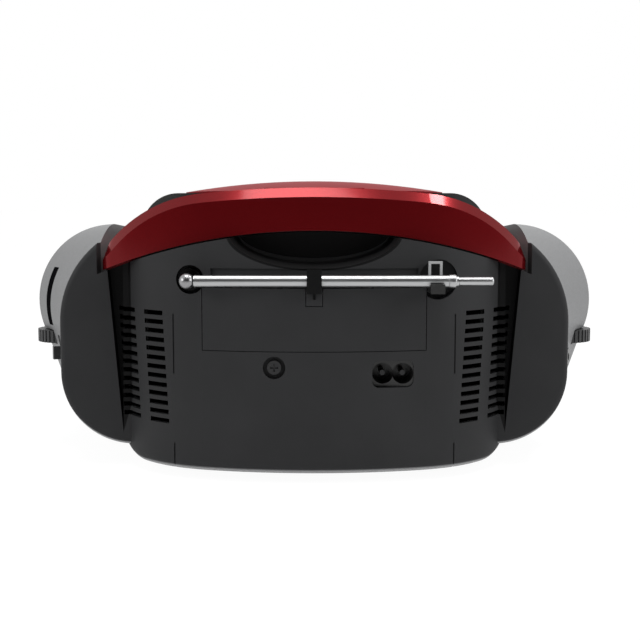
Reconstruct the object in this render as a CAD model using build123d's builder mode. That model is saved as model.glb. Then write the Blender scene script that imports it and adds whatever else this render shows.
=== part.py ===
from build123d import *
import os
from math import acos, asin, atan2, cos, degrees, hypot, radians, sin, sqrt

os.makedirs("parts", exist_ok=True)

# Portable disc, radio and cassette set. Millimetres, +Z up, front towards -Y, back towards +Y.
# The origin lies on the table, under the middle of the set.

# Walls and clearances shared by the whole set
WALL = 2.4
SEAM = 0.3
RUN = 0.08
LOOSE = 0.5
REACH = 400.0

# Back cabinet: bulging middle
BASE_Z = 4.0
BACK_Y = 100.0
PART_Y = 55.0
BACK_R = 180.0
BACK_HALF = 48.0
END_R = 58.0
ARCH_TOP = 107.0
ARCH_R = 257.0
BOTTOM_R = 4.0
BULGE_LOW_R = 17.0

# Back cabinet: end lobes, with the wedge-shaped valley between lobe and bulge
LOBE_OUT = 115.5
LOBE_Y = 65.0
LOBE_LOW_Z = 9.8
LOBE_TOP_Z = 111.5
LOBE_LOW_R = 33.0
LOBE_TOP_R = 46.0
LOBE_EDGE = 2.6
VALLEY_Y = 59.0
VALLEY_FOOT = (87.0, 15.6)
VALLEY_IN = (86.0, 97.0)
VALLEY_OUT = (93.7, 97.0)

# Speaker pods
POD_WIDE_Y = 15.0
POD_TOP_X = 99.0
POD_TOP_Z = 72.0
POD_TOP_R = 37.5
POD_CREASE_Z = 55.0
POD_LOW_X = 106.0
POD_LOW_R = 14.0
POD_BASE_Z = 7.0
NOSE_Y = -104.0
NOSE_X = 95.0
NOSE_TOP_R = 39.6
NOSE_TOP_Z = 64.0
NOSE_LOW_R = 30.0
NOSE_BASE_Z = 9.0

# Middle of the front, and the height where the top moulding starts
CORE_HALF = 79.0
CORE_Y = -48.0
FASCIA_HALF = 55.6
FASCIA_Y = -98.0
DECK_Z = 88.0

# Top moulding, with the disc well
TOP_Z = 124.0
SHOULDER_R = 18.0
SLOPE_LOW_Z = 97.0
SLOPE_TOP_Y = -56.0
CD_Y = 8.0
WELL_R = 60.8
WELL_Z = 113.0
LID_R = 63.4
LID_RIM = 0.8
LID_TOP_Z = 130.6
LID_T = 2.0
LID_HINGE_Y = 72.8
LID_HINGE_Z = 121.6
LID_KNUCKLE_R = 2.2
LID_EAR_BACK = 74.4
LID_EAR_TOP = 123.2
LID_PIN_R = 1.0
LID_LUG_HALF = 22.0
LID_LUG_T = 1.8
LID_EAR = 5.0

# Carrying handle and the channels that its arms lie in
HANDLE_Y = 92.0
HANDLE_R = 190.0
HANDLE_T = 10.0
HANDLE_HALF = 95.7
HANDLE_ARM = 11.0
HANDLE_TOP = 126.0
HANDLE_TOP_R = 500.0
HANDLE_CORNER = 66.0
HANDLE_CORNER_X = 43.0
HANDLE_LIFT = 0.8
HANDLE_BEVEL = 4.0
HANDLE_GAP = 6.4
ARM_TOP_Z = 103.0
ARM_FLAT_Y = 15.0
ARM_RISE_Y = 62.0
ARM_RISE_Z = 114.0
PIVOT_Y = -38.0
PIVOT_Z = 93.0
PIVOT_R = 2.0
PIVOT_END = 5.5
CHANNEL_SIDE = 2.2
CHANNEL_Z = 85.0
CHANNEL_Y = -52.0

# Finger hollow under the handle
HOLLOW_HALF = 37.0
HOLLOW_LOW_Z = 91.5
HOLLOW_DEEP = 24.0
HOLLOW_NARROW = 4.0

# Aerial
AERIAL_Z = 87.0
AERIAL_Y = 103.4
AERIAL_R = 2.5
PIVOT_X = 53.0
TUBE_END_X = -59.0
TIP_END_X = -74.6
TIP_R = 1.75
CUP_R = 6.2
STUD_R = 1.6
BALL_R = 3.3
NECK_R = 2.9
MIDDLE_R = 2.1
ROD_R = 1.4
AERIAL_TRAVEL = 90.0
CUP_Y = 84.5
CLIP_W = 6.2
CLIP_T = 2.0
CLIP_TOP = 5.0
CLIP_X = 0.0
REST_X = -51.0
REST_W = 5.8
REST_TOP_Z = 95.0
SCOOP_X = -53.0
SCOOP_Z = 87.0
SCOOP_R = 8.6
SCOOP_Y = 82.5
TROUGH_HALF = 44.0
TROUGH_TOP_Z = 92.0
TROUGH_DEEP = 1.4

# Battery door and compartment for six slim cells
DOOR_HALF = 47.7
DOOR_LOW_Z = 57.0
DOOR_TOP_Z = 83.6
TONGUE_HALF = 3.4
TONGUE_LOW_Z = 76.0
BOX_HALF = 52.0
BOX_LOW_Z = 58.8
BOX_TOP_Z = 74.0
BOX_Y = 40.0
BOX_WALL = 1.8

# Small features of the back
SEAM_X = 60.8
SEAM_CUT = 0.6
SCREW_X = 17.0
SCREW_Z = 50.0
SCREW_CUP_R = 4.8
SCREW_CUP = 4.0
INLET_X = -33.5
INLET_Z = 47.0
INLET_W = 17.8
INLET_H = 11.6
INLET_Y = 94.0
INLET_BACK = 17.0
PIN_PITCH = 8.6
PIN_R = 1.15
VENT_ROWS = 13
VENT_TOP_Z = 72.0
VENT_PITCH = 3.93
VENT_H = 2.1
VENT_IN_X = 70.4
VENT_IN_W = 9.1
VENT_OUT_X = 84.6
VENT_OUT_W = 9.0
VENT_LEAN = 2.6

# Speakers
CONE_X = 94.0
CONE_Z = 62.0
CONE_HOLE_R = 33.5
FRAME_R = 36.5
FRAME_T = 2.0
MAGNET_R = 19.0
MAGNET_T = 9.0
BASKET_DEEP = 19.0
GRILLE_DOME = 4.4
GRILLE_T = 1.2
GRILLE_HOLE_R = 1.9
GRILLE_STEP = 6.2

# Cassette deck
HATCH_HALF = 52.4
HATCH_LOW_Z = 12.0
HATCH_TOP_Z = 78.0
HATCH_Y = -101.0
HATCH_T = 3.2
HATCH_DEEP = 13.0
HATCH_GAP = 3.6
HATCH_PIVOT_Y = -95.6
HATCH_PIVOT_Z = 14.0
HATCH_PIN_R = 1.4
GLASS_HALF = 36.0
GLASS_H = 26.0
GLASS_Z = 49.0
PLATE_Y = -78.0
PLATE_T = 2.0
REEL_X = 21.25
REEL_Z = 46.0
REEL_R = 4.2
REEL_BORE = 2.0
CAPSTAN_X = -15.0
CAPSTAN_Z = 70.0
CAPSTAN_R = 1.25
FLYWHEEL_R = 17.0
FLYWHEEL_T = 6.0
PINCH_R = 5.2
PINCH_PIN_R = 1.4
PINCH_L = 8.0
HEAD_W = 12.0
HEAD_H = 8.0
HEAD_X = 4.0
MOTOR_X = 34.0
MOTOR_Z = 60.0
MOTOR_R = 14.0
MOTOR_L = 17.0
PULLEY_R = 4.0
BELT = 1.4

# Deck keys and disc buttons
KEY_COUNT = 6
KEY_PITCH = 17.0
KEY_GAP = 0.7
KEY_LOW_Z = 82.4
KEY_H = 12.0
KEY_DEEP = 9.0
KEY_TRAVEL = 3.4
KEY_STEM = 5.0
KEY_STEM_H = 3.0
BUTTON_COUNT = 5
BUTTON_PITCH = 18.0
BUTTON_W = 13.0
BUTTON_H = 7.0
BUTTON_UP = 1.8
BUTTON_TRAVEL = 1.2
BUTTON_ROW = -12.0
DISPLAY_W = 58.0
DISPLAY_H = 15.0
DISPLAY_ROW = 8.0
DISPLAY_T = 1.2

# Disc drive
TABLE_R = 16.0
TABLE_T = 2.0
HUB_R = 7.3
HUB_H = 3.6
SHAFT_R = 1.5
DRIVE_Z = 100.0
DRIVE_MOTOR_R = 11.0
DRIVE_MOTOR_L = 10.0
RAIL_Z = 105.0
TABLE_UP = 1.5
DRIVE_T = 2.0
DRIVE_X = 46.0
DRIVE_BACK = 22.0
DRIVE_FRONT = 58.0
RAIL_X = 9.0
RAIL_R = 1.5
SLED_W = 26.0
SLED_L = 14.0
SLED_TRAVEL = 20.0

# Side controls
WHEEL_R = 16.0
WHEEL_T = 6.0
WHEEL_X = 121.5
WHEEL_Y = 13.0
WHEEL_Z = 55.0
KNURLS = 40
SHELF_Z = 38.0
SWITCH_X = 122.6
SWITCH_Y = 37.0
SWITCH_Z = 51.0
SWITCH_W = 3.4
SWITCH_H = 6.0
SWITCH_TRAVEL = 5.0
SWITCH_TURN = 21.5
PHONES_X = 121.9
PHONES_Z = 46.6
PHONES_R = 4.2
PHONES_BORE = 1.8
PHONES_L = 15.0
DIAL_Y = 28.0
DIAL_W = 6.0
DIAL_LOW_Z = 61.0
DIAL_TOP_Z = 89.0
DIAL_T = 1.0

# Boards, transformer, feet and screws
BOARD_Z = 10.0
BOARD_T = 1.6
BOARD_HALF = 60.0
BOARD_FRONT = -40.0
BOARD_BACK = 46.0
CORE_W = 34.0
CORE_L = 20.0
CORE_H = 30.0
COIL_OVER = 7.0
FOOT_R = 6.0
FOOT_FRONT_X = 46.0
FOOT_FRONT_Y = -86.0
FOOT_BACK_X = 54.0
FOOT_BACK_Y = 62.5
SCREW_R = 3.0
SCREW_SHANK = 1.5

# Values that follow from the sizes above
BACK_ANGLE = degrees(asin(BACK_HALF / BACK_R))
END_X = (BACK_R - END_R) * sin(radians(BACK_ANGLE))
END_Y = BACK_Y - BACK_R + (BACK_R - END_R) * cos(radians(BACK_ANGLE))
ARCH_Z = ARCH_TOP - ARCH_R
FLOOR_Z = BASE_Z + WALL
JOIN_Y = PART_Y - SEAM
ARM_IN = HANDLE_HALF - HANDLE_ARM
CHANNEL_OUT = HANDLE_HALF + CHANNEL_SIDE
SLOPE = degrees(atan2(TOP_Z - SLOPE_LOW_Z, SLOPE_TOP_Y - FASCIA_Y))
LOBE = (LOBE_OUT - LOBE_TOP_R, LOBE_TOP_Z - LOBE_TOP_R, LOBE_TOP_R, LOBE_TOP_Z - LOBE_TOP_R,
        LOBE_OUT - LOBE_LOW_R, LOBE_LOW_R, LOBE_LOW_Z)
WIDE = (POD_TOP_X, POD_TOP_Z, POD_TOP_R, POD_CREASE_Z, POD_LOW_X, POD_LOW_R, POD_BASE_Z)
NOSE = (NOSE_X, NOSE_TOP_Z, NOSE_TOP_R, POD_CREASE_Z, NOSE_X, NOSE_LOW_R, NOSE_BASE_Z)
SLOPE_PLANE = Plane(
    origin=(0, (FASCIA_Y + SLOPE_TOP_Y) / 2, (SLOPE_LOW_Z + TOP_Z) / 2),
    x_dir=(1, 0, 0),
    z_dir=(0, -sin(radians(SLOPE)), cos(radians(SLOPE))),
)


def back_y(x, inset=0.0):
    """Y of the bulging back at a given X."""
    if abs(x) <= BACK_HALF:
        return BACK_Y - BACK_R + sqrt((BACK_R - inset) ** 2 - x * x)
    return END_Y + sqrt((END_R - inset) ** 2 - (abs(x) - END_X) ** 2)


def back_prism(inset):
    """Everything in front of the bulging back, seen in plan."""
    side = END_X + END_R - inset
    with BuildPart() as prism:
        with BuildSketch():
            with BuildLine():
                CenterArc((0, BACK_Y - BACK_R), BACK_R - inset, 90 - BACK_ANGLE, 2 * BACK_ANGLE)
                CenterArc((END_X, END_Y), END_R - inset, 0, 90 - BACK_ANGLE)
                CenterArc((-END_X, END_Y), END_R - inset, 90 + BACK_ANGLE, 90 - BACK_ANGLE)
                Polyline((side, END_Y), (side, -REACH / 2), (-side, -REACH / 2), (-side, END_Y))
            make_face()
        extrude(amount=REACH)
    return prism.part


def bulge(inset):
    """Middle of the back cabinet, under the arch that the handle follows."""
    with BuildPart() as body:
        add(back_prism(inset))
        with BuildSketch(Plane.XZ) as front:
            with Locations((0, BASE_Z + inset)):
                Rectangle(2 * (END_X + END_R - inset), REACH, align=(Align.CENTER, Align.MIN))
            fillet(front.vertices().group_by(Axis.Y)[0], radius=BULGE_LOW_R - inset)
            with Locations((0, ARCH_Z)):
                Circle(ARCH_R - inset, mode=Mode.INTERSECT)
        extrude(amount=REACH, both=True, mode=Mode.INTERSECT)
        split(bisect_by=Plane.XZ.offset(-PART_Y), keep=Keep.BOTTOM)
        if inset == 0:
            rim = body.edges().group_by(Axis.Z)[0].filter_by(GeomType.CIRCLE)
            fillet(rim, radius=BOTTOM_R)
    return body.part


def outline(shape, inner_x, inset, y):
    """Rounded end outline at one Y: low corner arc, side line, top arc, closed on the inner side."""
    top_x, top_z, top_r, crease_z, low_x, low_r, low_z = shape
    start = degrees(asin((crease_z - top_z) / top_r))
    top_r = top_r - inset
    crease = (top_x + top_r * cos(radians(start)), top_z + top_r * sin(radians(start)))
    centre = (low_x, low_z + low_r)
    low_r = low_r - inset
    far = (crease[0] - centre[0], crease[1] - centre[1])
    touch = degrees(atan2(far[1], far[0]) - acos(low_r / hypot(far[0], far[1])))
    lowest = low_z + inset
    foot = (low_x + low_r * cos(radians(touch)), centre[1] + low_r * sin(radians(touch)))
    with BuildSketch(Plane.XZ.offset(-y)) as face:
        with BuildLine():
            Line((inner_x, lowest), (low_x, lowest))
            CenterArc(centre, low_r, -90, 90 + touch)
            Line(foot, crease)
            CenterArc((top_x, top_z), top_r, start, 90 - start)
            Polyline((top_x, top_z + top_r), (inner_x, top_z + top_r), (inner_x, lowest))
        make_face()
    return face.sketch


def lobe(inset):
    """End lobe of the back cabinet, on the +X side."""
    with BuildPart() as body:
        extrude(outline(LOBE, END_X, inset, PART_Y), amount=-(LOBE_Y - inset - PART_Y))
        if inset == 0:
            fillet(body.faces().sort_by(Axis.Y)[-1].edges(), radius=LOBE_EDGE)
        with BuildSketch(Plane.XZ):
            with Locations((0, ARCH_Z + ARCH_R)):
                Rectangle(2 * (CHANNEL_OUT + inset), REACH)
            with Locations((0, ARCH_Z)):
                Circle(ARCH_R - inset, mode=Mode.SUBTRACT)
        extrude(amount=REACH, both=True, mode=Mode.SUBTRACT)
    return body.part


def valley(grow):
    """Wedge between bulge and lobe, on the +X side."""
    with BuildPart() as wedge:
        with BuildSketch(Plane.XZ.offset(-(VALLEY_Y - grow))) as cut:
            Polygon(VALLEY_FOOT, VALLEY_OUT, (VALLEY_OUT[0], ARCH_TOP), (VALLEY_IN[0], ARCH_TOP), VALLEY_IN,
                    align=None)
            if grow:
                offset(amount=grow)
        extrude(amount=-REACH / 4)
    return wedge.part


def hollow(grow):
    """Half-round finger hollow under the handle, narrowing inwards."""
    deep = BACK_Y - HOLLOW_DEEP - grow
    out = BACK_Y + WALL
    high = ARCH_TOP - HOLLOW_LOW_Z
    with BuildPart() as pocket:
        with BuildSketch(Plane.XZ.offset(-deep)) as floor:
            with Locations((0, ARCH_TOP)):
                Ellipse(HOLLOW_HALF - HOLLOW_NARROW + grow, high - HOLLOW_NARROW + grow)
        with BuildSketch(Plane.XZ.offset(-out)) as mouth:
            with Locations((0, ARCH_TOP)):
                Ellipse(HOLLOW_HALF + grow, high + grow)
        loft([floor.sketch, mouth.sketch])
    return pocket.part


def drum(x, z, radius, floor_y):
    """Round cutter from a floor out through the back."""
    with BuildPart() as cut:
        with BuildSketch(Plane.XZ.offset(-floor_y)):
            with Locations((x, z)):
                Circle(radius)
        extrude(amount=-(BACK_Y - floor_y + WALL))
    return cut.part


def skin(deep, x, width, low, high):
    """Outermost layer of the bulging back, over a patch of given width and height."""
    with BuildPart() as layer:
        add(bulge(0))
        add(bulge(deep), mode=Mode.SUBTRACT)
        with BuildSketch(Plane.XZ):
            with Locations((x, low)):
                Rectangle(width, high - low, align=(Align.CENTER, Align.MIN))
        extrude(amount=REACH, both=True, mode=Mode.INTERSECT)
    return layer.part


def rear_inside():
    """Space inside the back cabinet, less the walls of its hollows and cups."""
    with BuildPart() as space:
        add(bulge(WALL))
        add(lobe(WALL))
        mirror(lobe(WALL), about=Plane.YZ)
        add(valley(WALL), mode=Mode.SUBTRACT)
        mirror(valley(WALL), about=Plane.YZ, mode=Mode.SUBTRACT)
        add(hollow(WALL), mode=Mode.SUBTRACT)
        add(drum(PIVOT_X, AERIAL_Z, CUP_R + BOX_WALL, CUP_Y - BOX_WALL), mode=Mode.SUBTRACT)
        add(drum(SCOOP_X, SCOOP_Z, SCOOP_R + BOX_WALL, SCOOP_Y - BOX_WALL), mode=Mode.SUBTRACT)
        add(drum(SCREW_X, SCREW_Z, SCREW_CUP_R + BOX_WALL, BACK_Y - SCREW_CUP - 2 * WALL), mode=Mode.SUBTRACT)
    return space.part


# Battery door: a piece of the bulging back, notched round the aerial clip's tongue
def door_panel(grow):
    """The door's outline through the back wall."""
    with BuildPart() as panel:
        with BuildSketch(Plane.XZ.offset(-PART_Y)):
            with Locations((0, DOOR_LOW_Z - grow)):
                Rectangle(2 * (DOOR_HALF + grow), DOOR_TOP_Z - DOOR_LOW_Z + 2 * grow,
                          align=(Align.CENTER, Align.MIN))
            with Locations((CLIP_X, TONGUE_LOW_Z + grow)):
                Rectangle(2 * (TONGUE_HALF + SEAM - grow), REACH, align=(Align.CENTER, Align.MIN),
                          mode=Mode.SUBTRACT)
        extrude(amount=-(BACK_Y - PART_Y + WALL))
    return panel.part


with BuildPart() as battery_door:
    add(bulge(0))
    add(bulge(WALL), mode=Mode.SUBTRACT)
    add(door_panel(0), mode=Mode.INTERSECT)
battery_door.part.label = "battery_door"
export_step(battery_door.part, "parts/battery_door.step")

# Back cabinet: one dark moulding with walls all round, open towards the front
clip_low = AERIAL_Z - AERIAL_R - LOOSE - CLIP_T
clip_back = AERIAL_Y + AERIAL_R + LOOSE
clip_root = BACK_Y - WALL / 2 - SEAM_CUT


def hook():
    """Hook of the aerial clip, open upwards, with a rib under it."""
    with BuildPart() as clip:
        with BuildSketch(Plane.YZ.offset(CLIP_X - CLIP_W / 2)):
            Polygon((clip_root, clip_low), (clip_back + CLIP_T, clip_low),
                    (clip_back + CLIP_T, AERIAL_Z + CLIP_TOP), (clip_back, AERIAL_Z + CLIP_TOP),
                    (clip_back, clip_low + CLIP_T), (clip_root, clip_low + CLIP_T), align=None)
        extrude(amount=CLIP_W)
        with BuildSketch(Plane.YZ.offset(CLIP_X - CLIP_T / 4)):
            Polygon((clip_root, clip_low), (clip_back, clip_low), (clip_root, TONGUE_LOW_Z + CLIP_T),
                    align=None)
        extrude(amount=CLIP_T / 2)
    return clip.part


with BuildPart() as rear_cabinet:
    add(bulge(0))
    add(hook())
    add(lobe(0))
    mirror(lobe(0), about=Plane.YZ)
    add(rear_inside(), mode=Mode.SUBTRACT)
    add(valley(0), mode=Mode.SUBTRACT)
    mirror(valley(0), about=Plane.YZ, mode=Mode.SUBTRACT)
    add(hollow(0), mode=Mode.SUBTRACT)
    add(drum(PIVOT_X, AERIAL_Z, CUP_R, CUP_Y), mode=Mode.SUBTRACT)
    add(drum(SCOOP_X, SCOOP_Z, SCOOP_R, SCOOP_Y), mode=Mode.SUBTRACT)
    add(drum(SCREW_X, SCREW_Z, SCREW_CUP_R, BACK_Y - SCREW_CUP), mode=Mode.SUBTRACT)
    add(drum(SCREW_X, SCREW_Z, SCREW_SHANK + RUN, PART_Y), mode=Mode.SUBTRACT)
    add(drum(PIVOT_X, AERIAL_Z, STUD_R + RUN, PART_Y), mode=Mode.SUBTRACT)
    add(door_panel(SEAM), mode=Mode.SUBTRACT)
    # Shallow trough behind the aerial, and two mould seams
    add(skin(TROUGH_DEEP, 0, 2 * TROUGH_HALF, DOOR_TOP_Z, TROUGH_TOP_Z), mode=Mode.SUBTRACT)
    for side in (-SEAM_X, SEAM_X):
        add(skin(SEAM_CUT, side, SEAM_CUT, SCREW_Z - VENT_PITCH, VENT_TOP_Z), mode=Mode.SUBTRACT)
        add(skin(SEAM_CUT, side, SEAM_CUT, 0, VALLEY_FOOT[1]), mode=Mode.SUBTRACT)
    # Mains inlet opening
    with BuildSketch(Plane.XZ.offset(-PART_Y)):
        with Locations((INLET_X, INLET_Z)):
            RectangleRounded(INLET_W, INLET_H, INLET_H / 4)
    extrude(amount=-REACH / 4, mode=Mode.SUBTRACT)
    # Ventilation slots, two columns on either side, leaning inwards towards the bottom
    with BuildSketch(Plane.XZ.offset(-PART_Y)):
        for row in range(VENT_ROWS):
            height = VENT_TOP_Z - row * VENT_PITCH
            lean = VENT_LEAN * row / (VENT_ROWS - 1)
            for side in (-1, 1):
                with Locations((side * (VENT_IN_X - lean), height)):
                    Rectangle(VENT_IN_W, VENT_H)
                with Locations((side * (VENT_OUT_X - lean), height)):
                    Rectangle(VENT_OUT_W, VENT_H)
    extrude(amount=-REACH / 8, mode=Mode.SUBTRACT)
rear_cabinet.part.label = "rear_cabinet"
export_step(rear_cabinet.part, "parts/rear_cabinet.step")


# Speaker pods: silver shells that flare out behind the lobes, each with a baffle, a channel for the
# handle's arm and a shelf for its side control
def pod_hull(inset):
    """One pod from lobe to front, on the +X side."""
    inner = FASCIA_HALF + SEAM
    with BuildPart() as hull:
        loft([outline(LOBE, inner, inset, JOIN_Y), outline(WIDE, inner, inset, POD_WIDE_Y)])
        loft([outline(WIDE, inner, inset, POD_WIDE_Y), outline(NOSE, inner, inset, NOSE_Y)])
    return hull.part


def pod_ribs():
    """Baffle, channel walls and shelf, before they are trimmed to the pod."""
    with BuildPart() as ribs:
        with Locations((NOSE_X, NOSE_Y, 0)):
            Box(REACH, WALL, REACH, align=(Align.CENTER, Align.MIN, Align.CENTER))
        with Locations((CORE_HALF, CHANNEL_Y - WALL, CHANNEL_Z - WALL)):
            Box(CHANNEL_OUT + WALL - CORE_HALF, JOIN_Y - CHANNEL_Y + WALL, REACH, align=Align.MIN)
        with Locations((WHEEL_X, WHEEL_Y, SHELF_Z)):
            Box(WHEEL_R * 2, WHEEL_R, WALL, align=(Align.CENTER, Align.CENTER, Align.MIN))
        add(pod_hull(0), mode=Mode.INTERSECT)
    return ribs.part


def pod_shell():
    """Whole pod moulding on the +X side, without its small openings."""
    with BuildPart() as shell:
        add(pod_hull(0))
        add(pod_hull(WALL), mode=Mode.SUBTRACT)
        add(pod_ribs())
        with Locations((0, CORE_Y - SEAM, 0)):
            Box(2 * (CORE_HALF + SEAM), REACH, REACH, align=(Align.CENTER, Align.MIN, Align.CENTER),
                mode=Mode.SUBTRACT)
        with Locations((CORE_HALF, CHANNEL_Y, CHANNEL_Z)):
            Box(CHANNEL_OUT - CORE_HALF, REACH, REACH, align=Align.MIN, mode=Mode.SUBTRACT)
        with BuildSketch(Plane.XZ.offset(-NOSE_Y)):
            with Locations((CONE_X, CONE_Z)):
                Circle(CONE_HOLE_R)
        extrude(amount=-2 * WALL, both=True, mode=Mode.SUBTRACT)
        with Locations((WHEEL_X, WHEEL_Y, WHEEL_Z)):
            Cylinder(WHEEL_R + LOOSE, WHEEL_T + 2 * LOOSE, mode=Mode.SUBTRACT)
    return shell.part


def side_plane(side, x, z):
    """Plane on the pod's flared shoulder where the small side fittings sit, facing out and back."""
    turn = radians(SWITCH_TURN)
    return Plane(
        origin=(side * x, SWITCH_Y, z),
        x_dir=(-side * sin(turn), cos(turn), 0),
        z_dir=(side * cos(turn), sin(turn), 0),
    )


def dial_skin(gap):
    """Outermost layer of the pod over the dial window."""
    with BuildPart() as layer:
        add(pod_hull(0))
        add(pod_hull(DIAL_T), mode=Mode.SUBTRACT)
        with Locations((POD_TOP_X, DIAL_Y, DIAL_LOW_Z + gap)):
            Box(REACH / 4, DIAL_W - 2 * gap, DIAL_TOP_Z - DIAL_LOW_Z - 2 * gap,
                align=(Align.MIN, Align.CENTER, Align.MIN), mode=Mode.INTERSECT)
    return layer.part


with BuildPart() as dial_window:
    add(dial_skin(RUN))
dial_window.part.label = "dial_window"
export_step(dial_window.part, "parts/dial_window.step")

with BuildPart() as pod_shell_right:
    add(pod_shell())
    add(dial_skin(0), mode=Mode.SUBTRACT)
    with BuildSketch(side_plane(1, SWITCH_X, SWITCH_Z)):
        Rectangle(SWITCH_W + 2 * LOOSE, SWITCH_H + SWITCH_TRAVEL + 2 * LOOSE)
    extrude(amount=5 * WALL, both=True, mode=Mode.SUBTRACT)
pod_shell_right.part.label = "pod_shell_right"
export_step(pod_shell_right.part, "parts/pod_shell_right.step")

with BuildPart() as pod_shell_left:
    mirror(pod_shell(), about=Plane.YZ)
    with BuildSketch(side_plane(-1, PHONES_X, PHONES_Z)):
        Circle(PHONES_R + RUN)
    extrude(amount=3 * WALL, both=True, mode=Mode.SUBTRACT)
pod_shell_left.part.label = "pod_shell_left"
export_step(pod_shell_left.part, "parts/pod_shell_left.step")


# Middle of the front: black tray with floor, side walls and the cassette opening
def core_plan(inset, back):
    """T-shaped plan of the middle, between the pods."""
    wide = CORE_HALF - inset
    slim = FASCIA_HALF - inset
    with BuildSketch() as plan:
        Polygon((-wide, back), (-wide, CORE_Y + inset), (-slim, CORE_Y + inset), (-slim, FASCIA_Y + inset),
                (slim, FASCIA_Y + inset), (slim, CORE_Y + inset), (wide, CORE_Y + inset), (wide, back),
                align=None)
    return plan.sketch


key_xs = [(i - (KEY_COUNT - 1) / 2) * KEY_PITCH for i in range(KEY_COUNT)]
stem_z = KEY_LOW_Z + LOOSE
with BuildPart() as front_cabinet:
    extrude(core_plan(0, JOIN_Y).moved(Pos(0, 0, BASE_Z)), amount=DECK_Z - BASE_Z)
    extrude(core_plan(WALL, JOIN_Y + WALL).moved(Pos(0, 0, FLOOR_Z)), amount=DECK_Z, mode=Mode.SUBTRACT)
    with Locations((0, FASCIA_Y, HATCH_LOW_Z - HATCH_GAP)):
        Box(2 * (HATCH_HALF + SEAM), 4 * WALL, HATCH_TOP_Z + SEAM - HATCH_LOW_Z + HATCH_GAP,
            align=(Align.CENTER, Align.CENTER, Align.MIN), mode=Mode.SUBTRACT)
    with Locations(*[(x, FASCIA_Y, stem_z - KEY_TRAVEL - SEAM) for x in key_xs]):
        Box(KEY_STEM + 2 * SEAM, 4 * WALL, KEY_STEM_H + KEY_TRAVEL + 2 * SEAM,
            align=(Align.CENTER, Align.CENTER, Align.MIN), mode=Mode.SUBTRACT)
    with BuildSketch(Plane.YZ.offset(-FASCIA_HALF + WALL / 3)):
        with Locations((HATCH_PIVOT_Y, HATCH_PIVOT_Z)):
            Circle(HATCH_PIN_R + RUN)
    extrude(amount=2 * (FASCIA_HALF - WALL / 3), mode=Mode.SUBTRACT)
    with BuildSketch(Plane.XY.offset(FLOOR_Z)):
        with Locations(*[(x, y) for x in (-BOARD_HALF + FOOT_R, BOARD_HALF - FOOT_R)
                         for y in (BOARD_FRONT + FOOT_R, BOARD_BACK - FOOT_R)]):
            Circle(SCREW_R)
    extrude(amount=BOARD_Z - FLOOR_Z)
front_cabinet.part.label = "front_cabinet"
export_step(front_cabinet.part, "parts/front_cabinet.step")


# Top moulding: black block with round shoulders, the disc well and the sloping control panel
def top_body(inset):
    """Block of the top, or the space inside it."""
    low = DECK_Z + SEAM if inset == 0 else DECK_Z - 4 * WALL
    with BuildPart() as body:
        extrude(core_plan(inset, REACH / 4).moved(Pos(0, 0, low)), amount=TOP_Z - inset - low)
        with BuildSketch(Plane.XY.offset(low)):
            with Locations((0, HANDLE_Y - HANDLE_R)):
                Circle(HANDLE_R - HANDLE_T - HANDLE_GAP - inset)
        extrude(amount=REACH, mode=Mode.INTERSECT)
        with BuildSketch(Plane.XZ) as front:
            Rectangle(2 * (CORE_HALF - inset), TOP_Z - inset, align=(Align.CENTER, Align.MIN))
            fillet(front.vertices().group_by(Axis.Y)[-1], radius=SHOULDER_R - inset)
        extrude(amount=REACH, both=True, mode=Mode.INTERSECT)
        with BuildSketch(SLOPE_PLANE.offset(-inset)):
            Rectangle(REACH, REACH)
        extrude(amount=REACH, mode=Mode.SUBTRACT)
    return body.part


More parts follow.
